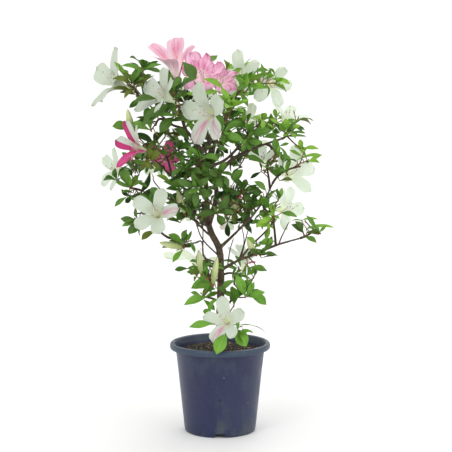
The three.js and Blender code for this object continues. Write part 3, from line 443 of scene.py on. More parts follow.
# Room before a blossom: its throat, edge and front as shares of its size, and two depths in millimetres
petalRoom = {"throat": 0.17, "edge": 0.95, "front": 0.6, "gap": 3.5, "frontDepth": 30}
# How leaves stand round a shoot: their sway and its middle, their spread in degrees and their share of a
# full leaf's length, both as a least and a span, and the sizes that are tried
habits = {
    "whorl": {"sway": (0.3, 0.5), "spread": (52, 24), "size": (0.82, 0.24), "tries": (1, 0.72)},
    "inner": {"sway": (0.8, 0), "spread": (14, 26), "size": (0.34, 0.26), "tries": (1,)},
    "under": {"sway": (0.5, 0), "spread": (74, 30), "size": (0.5, 0.36), "tries": (1,)},
    "side": {"sway": (0.4, 0.5), "spread": (48, 34), "size": (0.34, 0.34), "tries": (1,)},
}
# The room a leaf needs: how far inside the mass, its share of a shown spot, its depth and rise over others.
# The whorls of the solids are tight, and the leaves that only the scene has are loose.
leafRoom = {"tight": {"inside": 0.5, "spot": 0.8, "depth": 2.5, "rise": 2.5},
            "loose": {"inside": -4, "spot": 1, "depth": 1.2, "rise": 1.6}}
potRoom = {"radius": 58.4, "overLip": 138, "overSoil": 127}
up = np.array((0, 0, 1.0))


def vec(*numbers):
    return np.array(numbers, float)


def unit(v):
    return v / np.linalg.norm(v)


def far(v):
    return float(np.linalg.norm(v))


def dealt(draw, span):
    # a draw from a least value and a span
    return span[0] + span[1] * draw()


def heading(turn, rise):
    # direction from a turn about Z, 0 being the front, and a rise above level, in degrees
    t, r = math.radians(turn), math.radians(rise)
    return vec(math.sin(t) * math.cos(r), -math.cos(t) * math.cos(r), math.sin(r))


def around(axis):
    # gives the outward direction at any turn about the axis
    flat = vec(1, 0, 0) if abs(axis[2]) > 0.9 else up
    first = unit(np.cross(flat, axis))
    second = np.cross(axis, first)
    return lambda turn: first * math.cos(turn) + second * math.sin(turn)


def seededDraw(seed):
    full = 0xFFFFFFFF
    state = (seed * 7919) & full

    def draw():
        nonlocal state
        state = (state + 0x6D2B79F5) & full
        mixed = ((state ^ (state >> 15)) * (state | 1)) & full
        mixed = ((mixed + ((mixed ^ (mixed >> 7)) * (mixed | 61) & full)) & full) ^ mixed
        return ((mixed ^ (mixed >> 14)) & full) / 4294967296

    return draw


def curvePoint(points, u):
    # a uniform Catmull-Rom curve through the points
    last = len(points) - 1
    i = min(int(math.floor(last * u)), last - 1)
    w = last * u - i
    before = points[i - 1] if i > 0 else 2 * points[0] - points[1]
    after = points[i + 2] if i + 2 <= last else 2 * points[last] - points[last - 1]
    a, b = points[i], points[i + 1]
    leave, arrive = (b - before) / 2, (after - a) / 2
    square, cube = 3 * (b - a) - 2 * leave - arrive, 2 * (a - b) + leave + arrive
    return a + leave * w + square * w ** 2 + cube * w ** 3


def curveLength(points):
    steps = [curvePoint(points, k / 200) for k in range(201)]
    return sum(far(b - a) for a, b in zip(steps, steps[1:]))


def limbRadius(limb, u):
    thick, thin = limb["girth"]
    flare = 0 if limb["on"] else 5.5 * math.exp(-u * limb["length"] / 9)
    return thick + (thin - thick) * u + flare


def stemPoint(mass, u):
    a, b, c = mass["stem"]
    return a * (1 - u) ** 2 + 2 * b * u * (1 - u) + c * u ** 2


limbs, masses, allBlooms = {}, {}, []
for name, (on, at, girth, bends) in limbRows.items():
    points = [vec(*bend) for bend in bends]
    if on:
        points.insert(0, curvePoint(limbs[on]["points"], at))
    limbs[name] = {"name": name, "on": on, "girth": girth, "points": points, "length": curveLength(points)}

for name, (on, at, heart, reach, shoots, seed, thin) in massRows.items():
    points, heart = limbs[on]["points"], vec(*heart)
    start = curvePoint(points, at)
    run = heart - start
    leave = unit(points[-1] - curvePoint(points, 0.9999)) if at == 1 else unit(unit(run) + up * 0.35)
    masses[name] = {"index": len(masses), "heart": heart, "reach": reach, "shoots": shoots, "seed": seed,
                    "thin": thin, "stem": (start, start + leave * far(run) * 0.5, heart), "blooms": [],
                    "leafPoints": []}
hearts = np.array([mass["heart"] for mass in masses.values()])
reaches = np.array([mass["reach"] for mass in masses.values()], float)

for name, mouth, turn, rise, across, openness, roll, petals, more in bloomRows:
    mouth, facing = vec(*mouth), heading(turn, rise)
    bloom = {"mouth": mouth, "facing": facing, "across": across, "open": math.radians(openness), "roll": roll,
             "petals": petals, "foot": mouth - facing * across * 0.5, "slim": 1, "fused": 0.4, "flare": 5,
             "turns": (0,) * 5, "reach": (1,) * 5, "root": stemPoint(masses[name], growth["bloomRoot"]), **more}
    masses[name]["blooms"].append(bloom)
    allBlooms.append(bloom)

# All wood as round samples: place, radius and the mass it belongs to
samples = []
for limb in limbs.values():
    steps = math.ceil(limb["length"] / growth["sampleStep"])
    samples += [(curvePoint(limb["points"], k / steps), limbRadius(limb, k / steps), -1)
                for k in range(steps + 1)]
for mass in masses.values():
    samples += [(stemPoint(mass, k / 20), growth["stem"], mass["index"]) for k in range(21)]
woodPlaces, woodRadii, woodOwners = (np.array(column) for column in zip(*samples))


def inSpace(mass, point):
    # how far a point lies inside the mass's own space; spaces meet in planes, set by the reaches
    index = mass["index"]
    power = np.sum((hearts - point) ** 2, axis=1) - reaches ** 2
    apart = 2 * np.linalg.norm(hearts - mass["heart"], axis=1)
    apart[index] = 1
    room = (power - power[index]) / apart
    room[index] = np.inf
    return room.min()


def clearOfPot(point):
    return point[2] > potRoom["overLip" if math.hypot(point[0], point[1]) > potRoom["radius"] else "overSoil"]


def clearOfWood(mass, foot, along, across, length, halfWidth, halfDepth):
    offset, radii = mass["nearPlaces"] - foot, mass["nearRadii"]
    a, b, c = offset @ along, offset @ across, offset @ np.cross(along, across)
    hit = ((a > -1 - radii) & (a < length + 1 + radii) & (abs(b) < halfWidth + radii + 0.8)
           & (abs(c) < halfDepth + radii + 1))
    return not hit.any()


def meetsPetals(bloom, spots):
    # whether a line of places crosses a blossom's petals or stands close before them
    room, across, levels = petalRoom, bloom["across"], []
    for spot in spots:
        offset = spot - bloom["mouth"]
        ahead = offset @ bloom["facing"]
        out = math.sqrt(max(0, offset @ offset - ahead * ahead))
        levels.append((ahead - (out - across * room["throat"]) / math.tan(bloom["open"]), out))
    crossed = any(near[0] * past[0] < 0 and min(near[1], past[1]) < across * room["edge"]
                  for near, past in zip(levels, levels[1:]))
    return crossed or any(
        abs(ahead) < room["gap"] and out < across
        or 0 < ahead < room["frontDepth"] and out < across * room["front"] for ahead, out in levels)


eyePlace, eyePitch = vec(*camera["place"]) / mm, math.radians(camera["pitch"])
sine, cosine, photoMiddle = math.sin(eyePitch), math.cos(eyePitch), camera["frame"] / 2


def toPhoto(point):
    # the pixel of the photo at which a place in millimetres shows
    side, deep, high = point - eyePlace
    depth, rise = deep * cosine - high * sine, high * cosine + deep * sine
    return photoMiddle + camera["focal"] * side / depth, photoMiddle - camera["focal"] * rise / depth


def fromPhoto(x, y, deep):
    # the place in millimetres that shows at a pixel of the photo, at a given depth Y
    right, rise = (x - photoMiddle) / camera["focal"], (photoMiddle - y) / camera["focal"]
    run = deep - eyePlace[1]
    high = run * (rise * cosine - sine) / (cosine + rise * sine)
    return vec(eyePlace[0] + right * (run * cosine - high * sine), deep, eyePlace[2] + high)


def hides(spots, point, share=1):
    # whether a place covers one of the photo's spots: sky always, and a thing from in front of it
    x, y = toPhoto(point)
    return any(math.hypot(x - a, y - b) < r * share and not (deep and point[1] >= deep[0])
               for a, b, r, *deep in spots.values())


leafJobs = {kind: [] for kind in ("fresh", "mid", "deep", "olive", "bright")}
twigJobs = {"woody": [], "green": []}
tipBuds = []


def tryLeaf(mass, root, along, across, length, tint, fine, loose):
    # notes a leaf down where it has room, and says whether it did
    room, at = leafRoom["loose" if loose else "tight"], leafSpots
    lift = unit(np.cross(along, across))
    half = growth["leafWidth"] / 2 * length / growth["leafLength"]
    spots = [root, root + along * length * at["middle"] + lift * at["middleRise"],
             root + along * length - lift * length * at["tipDrop"]]
    sides = [root + along * length * at["widest"] + across * half * s + lift * at["sideRise"] for s in (1, -1)]
    for point in spots[1:] + sides:
        if (far(point - mass["heart"]) > mass["reach"] + growth["leafSpill"] or not clearOfPot(point)
                or inSpace(mass, point) < room["inside"] or hides(skyWindows, point, room["spot"])
                or hides(shownThings, point, room["spot"])):
            return False
    if not clearOfWood(mass, root, along, across, length, half, room["depth"]):
        return False
    near = [bloom for bloom in allBlooms if far(bloom["mouth"] - root) < bloom["across"] + length]
    if any(meetsPetals(bloom, spots) for bloom in mass["blooms"] + (near if loose else [])):
        return False
    if mass["leafPoints"]:
        offset = np.array(mass["leafPoints"]) - root
        u, v, w = offset @ along, offset @ across, offset @ lift
        if ((u > 2) & (u < length + 2) & (abs(v) < half) & (abs(w) < room["rise"])).any():
            return False
    mass["leafPoints"] += [spots[1], spots[2] * 0.6 + spots[1] * 0.4]
    roll = growth["leafRoll"] * (fine() + fine() - 1)
    shown = length * (1 if loose else dealt(fine, growth["shown"]))
    leafJobs[tint].append({
        "root": root, "along": along, "across": across * math.cos(roll) + lift * math.sin(roll),
        "length": shown, "half": shown * dealt(fine, growth["slim"]), "loose": loose})
    return True


def growRing(mass, habit, axis, outAt, turns, footAt, tint, draw, fine):
    # leaves at these turns round a shoot, each with its own sway, spread and size
    look = habits[habit]
    for turn in turns:
        out = outAt(turn + look["sway"][0] * (draw() - look["sway"][1]))
        spread = math.radians(dealt(draw, look["spread"]))
        along = axis * math.cos(spread) + out * math.sin(spread)
        size = growth["leafLength"] * dealt(draw, look["size"])
        foot, across = footAt(turn, out), unit(np.cross(axis, out))
        for part in look["tries"]:
            if tryLeaf(mass, foot, along, across, size * part, tint, fine, habit != "whorl"):
                break


def addStickPoints(mass, start, end):
    steps = math.ceil(far(end - start) / growth["sampleStep"])
    mass["leafPoints"] += [start + (end - start) * k / steps for k in range(1, steps)]


def pickTint(place, fine):
    # colours are dealt out by spray: deep in the crown's middle, partly painted shade where the crown shades
    # itself, fresher all round its outside
    outer = far((place - vec(*growth["crownMiddle"])) * vec(1, 0.6, 1)) / growth["crownReach"]
    level = 0.1 + 0.6 * min(1, outer) ** 1.3 + 0.5 * (fine() - 0.5)
    tint = "fresh" if level > growth["freshOver"] else "mid" if level > growth["midOver"] else "deep"
    if fine() < growth["oliveShare"]:
        tint = "olive"
    low = place[2] < growth["lowSprays"]
    if tint == "fresh" and (low or place[0] < growth["leftSprays"]):
        tint = "bright" if low else "mid"
    return tint


def growSideTwig(mass, start, ahead, tint, fine):
    # a finer twig off a shoot or stem, with a small whorl at its end
    if fine() > mass["thin"]:
        return
    out = around(ahead)(fine() * fullTurn)
    aim = unit(ahead * (0.5 + 0.5 * fine()) + out + up * 0.25)
    end = start + aim * dealt(fine, growth["sideReach"])
    if (inSpace(mass, end) < 3 or not clearOfPot(end) or hides(skyWindows, end)
            or far(end - mass["heart"]) > mass["reach"]):
        return
    twigJobs["green"].append(([start, (start + end) / 2 + ahead * 0.8, end], growth["sideRadii"]))
    first = fine() * fullTurn
    count = int(dealt(fine, growth["sideLeaves"]))
    growRing(mass, "side", aim, around(aim), [first + k * fullTurn / count for k in range(count)],
             lambda turn, out: end + out * 0.8, tint, fine, fine)
    tipBuds.append((end, aim, growth["smallTip"]))


def growSpray(mass, root, end, along, axis, turn, draw, fine):
    # a shoot with the solids' whorl at its end, smaller leaves in and under it, and side twigs
    tint = pickTint(end, fine)
    inner = tint if tint in ("fresh", "bright") else "mid" if tint in ("deep", "olive") else "bright"
    within = int(dealt(fine, growth["innerLeaves"]))
    beneath = int(dealt(fine, growth["underLeaves"]) * mass["thin"])
    axis = unit(axis + up * dealt(fine, growth["lift"]))
    outAt, first, count = around(axis), draw() * fullTurn, growth["leavesAround"]
    growRing(mass, "whorl", axis, outAt, [first + k * (fullTurn / count) for k in range(count)],
             lambda turn, out: end + outAt(turn) * growth["knobFoot"], tint, draw, fine)
    bow = (root + end) / 2 + around(along)(turn) * growth["bow"]
    twigJobs["green"].append(([root, bow, end], growth["shootRadii"]))
    addStickPoints(mass, root, end)
    growRing(mass, "inner", axis, outAt, [first + k * goldenTurn for k in range(within)],
             lambda turn, out: end + axis * 0.6, inner, fine, fine)
    growRing(mass, "under", axis, outAt, [first + fullTurn / 12 + k * goldenTurn for k in range(beneath)],
             lambda turn, out: end - axis * dealt(fine, growth["setBack"]), tint, fine, fine)
    tipBuds.append((end, axis, 1.0))
    for share in growth["sideTwigs"]:
        growSideTwig(mass, root + (end - root) * share, along, tint, fine)


def growShoots(mass, draw, fine):
    # shoots turn round the mass's heart, the first of them highest, each as long as its room lets it be
    rule, count, apart = growth, mass["shoots"], growth["shootRoom"]
    for k in range(count):
        level = 1 - 2 * (k + 0.5) / count
        turn = k * goldenTurn + mass["seed"] * rule["turnBySeed"] + draw()
        flatness = math.sqrt(1 - level * level)
        aim = unit(vec(math.cos(turn) * flatness, math.sin(turn) * flatness,
                       level * rule["flatten"] + rule["raise"]))
        root = stemPoint(mass, rule["shootsFrom"] - rule["shootsSpan"] * k / count)
        for share in rule["shares"]:
            end = mass["heart"] + aim * mass["reach"] * share
            along = unit(end - root)
            if (inSpace(mass, end) >= rule["spaceGap"] + rule["knobRadius"] + 3 and clearOfPot(end)
                    and clearOfWood(mass, root, along, around(along)(0), far(end - root), apart, apart)):
                growSpray(mass, root, end, along, unit(along + aim + up * rule["lean"]), turn, draw, fine)
                break


for tint, rows in singleLeaves.items():
    for name, (root, tip, half) in rows.items():
        root, tip = fromPhoto(*root), fromPhoto(*tip)
        along = unit(tip - root)
        near = woodPlaces[np.argmin(np.linalg.norm(woodPlaces - root, axis=1))]
        twigJobs["green"].append(([near, (near + root) / 2 - up * 1.5, root], singleLook["stalk"]))
        face = vec(*leafFaces.get(name, singleLook["face"]))
        leafJobs[tint].append({
            "root": root, "along": along, "across": unit(np.cross(face, along)), "length": far(tip - root),
            "half": half, "loose": False, "bends": singleLook["bends"]})

for on, at, girth, *way in bareTwigs.values():
    way = [curvePoint(limbs[on]["points"], at), *(fromPhoto(*bend) for bend in way)]
    twigJobs["woody"].append((way, (girth, girth * growth["bareTaper"])))
    tipBuds.append((way[-1], unit(way[-1] - way[-2]), growth["smallTip"]))

for name, mass in masses.items():
    near = ((woodOwners != mass["index"])
            & (np.linalg.norm(woodPlaces - mass["heart"], axis=1) < mass["reach"] + growth["nearby"])
            & (np.linalg.norm(woodPlaces - stemPoint(mass, 0), axis=1) > 1))
    mass["nearPlaces"], mass["nearRadii"] = woodPlaces[near], woodRadii[near]
    for bloom in mass["blooms"]:
        addStickPoints(mass, bloom["root"], bloom["mouth"])
    for owner, foot, tip, girth in budRows:
        if owner == name:
            addStickPoints(mass, stemPoint(mass, growth["budRoot"]), vec(*tip))
    fine = seededDraw(mass["seed"] + 1000)
    twigJobs["woody"].append(([stemPoint(mass, k / 6) for k in range(7)], growth["stemRadii"]))
    growShoots(mass, seededDraw(mass["seed"]), fine)
    for u in growth["stemTwigs"]:
        place = stemPoint(mass, u)
        ahead = unit(stemPoint(mass, u + 0.05) - stemPoint(mass, u - 0.05))
        tint = pickTint(place, fine)
        # two draws pass here, as a shoot takes them for its inner and lower leaves
        fine(), fine()
        growSideTwig(mass, place, ahead, tint, fine)
print("growth:", {tint: len(jobs) for tint, jobs in leafJobs.items()}, "leaves,", len(tipBuds), "tips")


# Finishes

def tone(red, green, blue):
    # a colour as seen on a screen, 0 to 255, to the plain values a shader takes
    linear = [(c / 255 / 12.92) if c < 11 else ((c / 255 + 0.055) / 1.055) ** 2.4 for c in (red, green, blue)]
    return (*linear, 1)


class Nodes:
    # a node tree, with short ways to add what the plant's finishes are made of
    def __init__(self, tree):
        self.tree = tree

    def feed(self, socket, value):
        if isinstance(value, bpy.types.NodeSocket):
            self.tree.links.new(value, socket)
        else:
            socket.default_value = value

    def add(self, kind, *values, **named):
        # sockets are fed in order, or by name
        node = self.tree.nodes.new("ShaderNode" + kind)
        for socket, value in zip(node.inputs, values):
            self.feed(socket, value)
        for name, value in named.items():
            self.feed(node.inputs[name], value)
        return node

    def math(self, operation, *values, kind="Math", output=0):
        node = self.add(kind, *values)
        node.operation = operation
        return node.outputs[output]

    def times(self, first, second):
        return self.math("MULTIPLY", first, second)

    def plus(self, first, second):
        return self.math("ADD", first, second)

    def minus(self, first, second):
        return self.math("SUBTRACT", first, second)

    def between(self, value, most=None):
        # no less than none, and no more than the most where that is given
        value = self.math("MAXIMUM", value, 0.0)
        return value if most is None else self.math("MINIMUM", value, most)

    def split(self, place):
        return self.add("SeparateXYZ", place).outputs

    def offMiddle(self, across):
        # how far a place lies from a blade's middle line, by its UV map
        return self.math("ABSOLUTE", self.minus(across, 0.5))


def newGroup(name, inputs, outputs):
    tree = bpy.data.node_groups.new(name, "ShaderNodeTree")
    tree.interface.new_socket("Place", in_out="INPUT", socket_type="NodeSocketVector")
    for label, value in inputs.items():
        tree.interface.new_socket(label, in_out="INPUT", socket_type="NodeSocketFloat").default_value = value
    for label in outputs:
        tree.interface.new_socket(label, in_out="OUTPUT", socket_type="NodeSocketFloat")
    return Nodes(tree), tree.nodes.new("NodeGroupInput").outputs, tree.nodes.new("NodeGroupOutput").inputs


def makePatches():
    # soft irregular patches between two levels of noise
    group, given, put = newGroup("patches", {"Scale": 40, "Detail": 3, "Low": 0.4, "High": 0.6}, ["Mask"])
    cloud = group.add("TexNoise", Vector=given["Place"], Scale=given["Scale"], Detail=given["Detail"])
    span = group.add("MapRange", cloud.outputs["Fac"], given["Low"], given["High"])
    group.feed(put["Mask"], span.outputs["Result"])
    return group.tree


def makeRibs():
    # a midrib and slanting side veins, read from a blade's own UV map
    group, given, put = newGroup("ribs", {"Rib Width": 0.05, "Vein Count": 7, "Slant": 0.55, "Fine": 6},
                                 ["Rib", "Veins"])
    across, along, _ = group.split(given["Place"])
    off = group.offMiddle(across)
    group.feed(put["Rib"], group.between(group.minus(1.0, group.math("DIVIDE", off, given["Rib Width"]))))
    lean = group.minus(along, group.times(off, given["Slant"]))
    wave = group.math("SINE", group.times(lean, group.times(given["Vein Count"], fullTurn)))
    group.feed(put["Veins"], group.math("POWER", group.between(wave), given["Fine"]))
    return group.tree


patchesGroup, ribsGroup = makePatches(), makeRibs()


class Paint(Nodes):
    # a material of its own, with the plant's shared effects at hand
    def __init__(self, name, values):
        self.material = bpy.data.materials.new(name)
        self.material.use_nodes = True
        super().__init__(self.material.node_tree)
        self.shader = self.tree.nodes["Principled BSDF"]
        coordinates = self.add("TexCoord").outputs
        self.place, self.uv = coordinates["Object"], coordinates["UV"]
        self.put(values)

    def put(self, values):
        # feeds the shader's sockets by their labels, and hands the material over
        for label, value in values.items():
            self.feed(self.shader.inputs[label], value)
        return self.material

    def mix(self, mask, first, second):
        # screen colours are turned into a shader's own values
        node = self.add("Mix")
        node.data_type = "RGBA"
        self.feed(node.inputs[0], mask)
        for socket, value in ((node.inputs[6], first), (node.inputs[7], second)):
            self.feed(socket, tone(*value) if isinstance(value, tuple) else value)
        return node.outputs[2]

    def patches(self, place, scale, detail, low, high, stretch=None):
        if stretch:
            place = self.add("Mapping", Vector=place, Scale=stretch).outputs["Vector"]
        node = self.add("Group")
        node.node_tree = patchesGroup
        for socket, value in zip(node.inputs, (place, scale, detail, low, high)):
            self.feed(socket, value)
        return node.outputs["Mask"]

    def ribs(self):
        node = self.add("Group")
        node.node_tree = ribsGroup
        self.feed(node.inputs["Place"], self.uv)
        return node.outputs["Rib"], node.outputs["Veins"]

    def behind(self):
        return self.add("NewGeometry").outputs["Backfacing"]

    def bump(self, height, strength, distance):
        node = self.add("Bump", Height=height, Strength=strength, Distance=distance)
        self.put({"Normal": node.outputs["Normal"]})


# Mottled finishes of one sort: roughness, the patches' scale, detail and levels, and the bump
mottledSorts = {
    "floor": (0.9, (1.5, 3, 0.3, 0.7), None),
    "stamen": (0.5, (300, 3, 0.4, 0.6), None),
    "twig": (0.7, (220, 4, 0.4, 0.6), (0.5, 0.0004)),
    "soil": (0.95, (380, 6, 0.35, 0.65), (0.8, 0.001)),
}
# Mottled finishes: sort, light tone and dark tone
mottledTones = {
    "paleFloor": ("floor", (243, 243, 242), (240, 240, 239)),
    "filamentPaint": ("stamen", (232, 216, 214), (197.2, 183.6, 181.9)),
    "antherPaint": ("stamen", (168, 118, 92), (142.8, 100.3, 78.2)),
    "woodyTwigPaint": ("twig", (84, 66, 48), (58, 45, 34)),
    "greenTwigPaint": ("twig", (124, 98, 52), (104, 68, 46)),
    "scaleTwigPaint": ("twig", (138, 92, 52), (100, 62, 40)),
    "stalkTwigPaint": ("twig", (126, 138, 66), (112, 104, 56)),
    "bedPaint": ("soil", (54, 50, 40), (22, 20, 16)),
    "darkChipPaint": ("soil", (112, 100, 78), (34, 30, 24)),
    "paleChipPaint": ("soil", (190, 168, 138), (140, 116, 88)),
    "gritPaint": ("soil", (216, 214, 206), (186, 184, 174)),
    "greenBitPaint": ("soil", (118, 136, 72), (78, 98, 46)),
}


def paintMottled(name):
    sort, light, dark = mottledTones[name]
    roughness, levels, bump = mottledSorts[sort]
    paint = Paint(name, {"Roughness": roughness})
    patch = paint.patches(paint.place, *levels)
    if bump:
        paint.bump(patch, *bump)
    return paint.put({"Base Color": paint.mix(patch, light, dark)})


# Leaves: the blade's light and deep tone, and its ribs
leafTones = {
    "fresh": ((138, 182, 58), (108, 160, 46), (174, 204, 106)),
    "mid": ((84, 132, 42), (62, 106, 32), (126, 160, 74)),
    "deep": ((48, 86, 26), (36, 66, 20), (82, 112, 50)),
    "bright": ((104, 160, 46), (82, 138, 38), (152, 188, 98)),
    "olive": ((94, 98, 26), (70, 72, 20), (136, 134, 62)),
}
leafPaint = {"shine": 0.18, "patches": (55, 3, 0.35, 0.65), "rib": 0.7, "under": (132, 168, 80),
             "underShare": 0.22, "rough": 0.34, "patchRough": 0.16, "veins": -0.5, "bump": (0.5, 0.0004)}


def paintLeaf(kind):
    look, (light, deep, ribs) = leafPaint, leafTones[kind]
    paint = Paint(kind + "Leaf", {"Specular IOR Level": look["shine"]})
    patch = paint.patches(paint.place, *look["patches"])
    rib, veins = paint.ribs()
    ribbed = paint.mix(paint.times(rib, look["rib"]), paint.mix(patch, light, deep), ribs)
    under = paint.mix(look["underShare"], ribbed, look["under"])
    paint.bump(paint.minus(paint.times(veins, look["veins"]), rib), *look["bump"])
    return paint.put({"Base Color": paint.mix(paint.behind(), ribbed, under),
                      "Roughness": paint.plus(look["rough"], paint.times(patch, look["patchRough"]))})


# Petals: light tone, shade, streaks or freckles, and how much these show
petalTones = {
    "white": ((194, 203, 188), (182, 194, 174), (190, 200, 178), 0.5),
    "freckled": ((194, 202, 188), (182, 192, 174), (180, 90, 120), 0.7),
    "streaked": ((194, 202, 190), (184, 192, 178), (196, 82, 140), 1.0),
    "halved": ((194, 202, 190), (184, 192, 178), (180, 40, 108), 1.0),
    "blush": ((198, 184, 188), (190, 172, 178), (194, 108, 148), 0.8),
    "pink": ((200, 146, 166), (206, 178, 190), (196, 70, 112), 1.0),
    "ruffled": ((216, 146, 182), (222, 200, 212), (204, 62, 132), 0.9),
    "magenta": ((180, 40, 108), (166, 32, 98), (200, 96, 148), 0.6),
}
petalPaint = {
    "rough": 0.55, "shine": 0.3, "sheen": 0.15, "patches": (60, 3, 0.3, 0.7),
    "dots": (9, 22, 1), "dot": 0.2, "dotHalf": 0.3, "dotFrom": 0.3, "dotTo": 0.72, "halvedAt": 0.52,
    "threads": (1.6, 4, 0.42, 0.62, (6, 0.9, 1)), "threadMiddle": 1.15, "threadFade": 3.4,
    "hem": (182, 40, 108), "hemFrom": 0.36, "hemRise": 6.5, "throatRise": 2.4, "throatMost": 0.75,
    "veins": (1, 2, 0.3, 0.7, (22, 1.6, 1)), "bump": (0.35, 0.0005),
}
# The throat's tone, and the tone of a petal's outside, which is paler partly as a real petal's outside is and
# partly as painted light on its shaded side
petalSides = {"pale": ((204, 214, 156), (214, 222, 196)), "rosy": ((224, 208, 206), (232, 202, 212))}
# Painted light: thin petals glow by emission, standing in for the light that comes through them, weaker in
# front of the crown than behind it
petalGlow = {"way": (0.25, 1, -0.15), "front": -0.1, "back": -0.02, "pale": (0.0, 0.48), "rosy": (0.24, 0.26),
             "throat": 0.3}
throatStart = {"pink": 0.66, "ruffled": 0.66, "magenta": 0.28, "others": 0.46}
outsideShare = {"magenta": 0.06, "others": 0.5}


def markPetal(paint, kind, across, along):
    # where a petal's streaks or freckles show
    look, off = petalPaint, paint.offMiddle(across)
    if kind == "freckled":
        spread = paint.add("Mapping", Vector=paint.uv, Scale=look["dots"]).outputs["Vector"]
        dots = paint.add("TexVoronoi", Vector=spread, Scale=1.0).outputs["Distance"]
        near = paint.math("LESS_THAN", off, look["dotHalf"])
        band = paint.times(paint.math("GREATER_THAN", along, look["dotFrom"]),
                           paint.math("LESS_THAN", along, look["dotTo"]))
        return paint.times(paint.times(paint.math("LESS_THAN", dots, look["dot"]), near), band)
    if kind == "halved":
        return paint.math("GREATER_THAN", across, look["halvedAt"])
    middle = paint.minus(look["threadMiddle"], paint.times(off, look["threadFade"]))
    return paint.times(paint.patches(paint.uv, *look["threads"]), paint.between(middle))


def paintPetal(kind):
    look, (light, shade, streak, amount) = petalPaint, petalTones[kind]
    family = "rosy" if kind in ("pink", "ruffled", "magenta") else "pale"
    throatTone, outside = petalSides[family]
    paint = Paint(kind + "Petal", {"Roughness": look["rough"], "Specular IOR Level": look["shine"],
                                   "Sheen Weight": look["sheen"]})
    across, along, _ = paint.split(paint.uv)
    base = paint.mix(paint.patches(paint.place, *look["patches"]), light, shade)
    marked = paint.mix(paint.times(markPetal(paint, kind, across, along), amount), base, streak)
    if kind == "ruffled":
        hem = paint.between(paint.minus(paint.offMiddle(across), look["hemFrom"]))
        marked = paint.mix(paint.times(hem, look["hemRise"]), marked, look["hem"])
    throat = paint.minus(throatStart.get(kind, throatStart["others"]), along)
    throat = paint.between(paint.times(throat, look["throatRise"]), look["throatMost"])
    tinted = paint.mix(throat, marked, throatTone)
    # the outside's paler tone is partly the petal's own and partly painted light that lifts the shade on it
    outer = paint.mix(outsideShare.get(kind, outsideShare["others"]), tinted, outside)
    tinted = paint.mix(paint.behind(), outer, tinted)
    # painted light: the petals glow by emission, more behind the crown, to its right and lower down, and more
    # again in the throat
    deep = paint.math("DOT_PRODUCT", paint.place, petalGlow["way"], kind="VectorMath", output="Value")
    least, most = petalGlow[family]
    glow = paint.add("MapRange", deep, petalGlow["front"], petalGlow["back"], least, most).outputs["Result"]
    paint.bump(paint.patches(paint.uv, *look["veins"]), *look["bump"])
    return paint.put({"Base Color": tinted, "Emission Color": tinted,
                      "Emission Strength": paint.plus(glow, paint.times(throat, petalGlow["throat"]))})


barkPaint = {"rough": 0.85, "fissures": (700, 6, 0.4, 0.62, (1, 1, 0.25)), "lichens": (90, 5, 0.55, 0.72),
             "fissureTones": ((62, 50, 38), (104, 88, 68)), "lichen": (122, 116, 84), "lichenShare": 0.6,
             "bump": (0.8, 0.0008)}


def paintBark():
    look = barkPaint
    paint = Paint("barkPaint", {"Roughness": look["rough"]})
    fissures = paint.patches(paint.place, *look["fissures"])
    lichens = paint.times(paint.patches(paint.place, *look["lichens"]), look["lichenShare"])
    paint.bump(fissures, *look["bump"])
    # the bark is darker where its bump sinks and lighter where it rises
    return paint.put({"Base Color": paint.mix(lichens, paint.mix(fissures, *look["fissureTones"]), look["lichen"])})


budPaint = {"rough": 0.5, "threads": (1.5, 3, 0.35, 0.65, (8, 1.2, 1)), "foot": (118, 144, 62),
            "pale": ((208, 214, 168), (174, 190, 112)), "footFade": 1.9}


def paintBud():
    look = budPaint
    paint = Paint("budPaint", {"Roughness": look["rough"]})
    along = paint.split(paint.uv)["Y"]
    pale = paint.mix(paint.patches(paint.uv, *look["threads"]), *look["pale"])
    low = paint.between(paint.minus(1.0, paint.times(along, look["footFade"])), 1.0)
    return paint.put({"Base Color": paint.mix(low, pale, look["foot"])})


potPaint = {
    "shine": 0.4, "clouds": (14, 4, 0.4, 0.66), "body": ((32, 37, 72), (39, 46, 78)),
    "dusts": (60, 6, 0.5, 0.75, (1, 1, 0.5)), "dust": (80, 96, 92), "dustShare": 0.3,
    "lip": (64, 92, 98), "lipFoot": 0.1235, "lipRise": 300, "lipMost": 0.3,
    "stain": (76, 84, 80), "stainTop": 0.03, "stainShare": 0.9,
    "specks": (900, 2, 0.66, 0.7), "speck": (140, 146, 150), "speckShare": 0.25,
    "fleckEdge": 1200, "fleckMost": 0.8, "seam": (22, 26, 48), "seamHalf": 0.0007, "seamShare": 0.35,
    "rough": 0.36, "dustRough": 0.3, "bump": (0.25, 0.0006),
}
# Flecks of dirt on the pot: place in metres, size and colour
potFlecks = [
    ((-0.0006, -0.0594, 0.0582), 0.0026, (24, 26, 40)), ((0.006, -0.0627, 0.0924), 0.0011, (128, 132, 140)),
    ((-0.0539, -0.0152, 0.0268), 0.0013, (150, 154, 150)), ((0.0413, -0.0414, 0.0501), 0.0012, (120, 126, 128)),
]


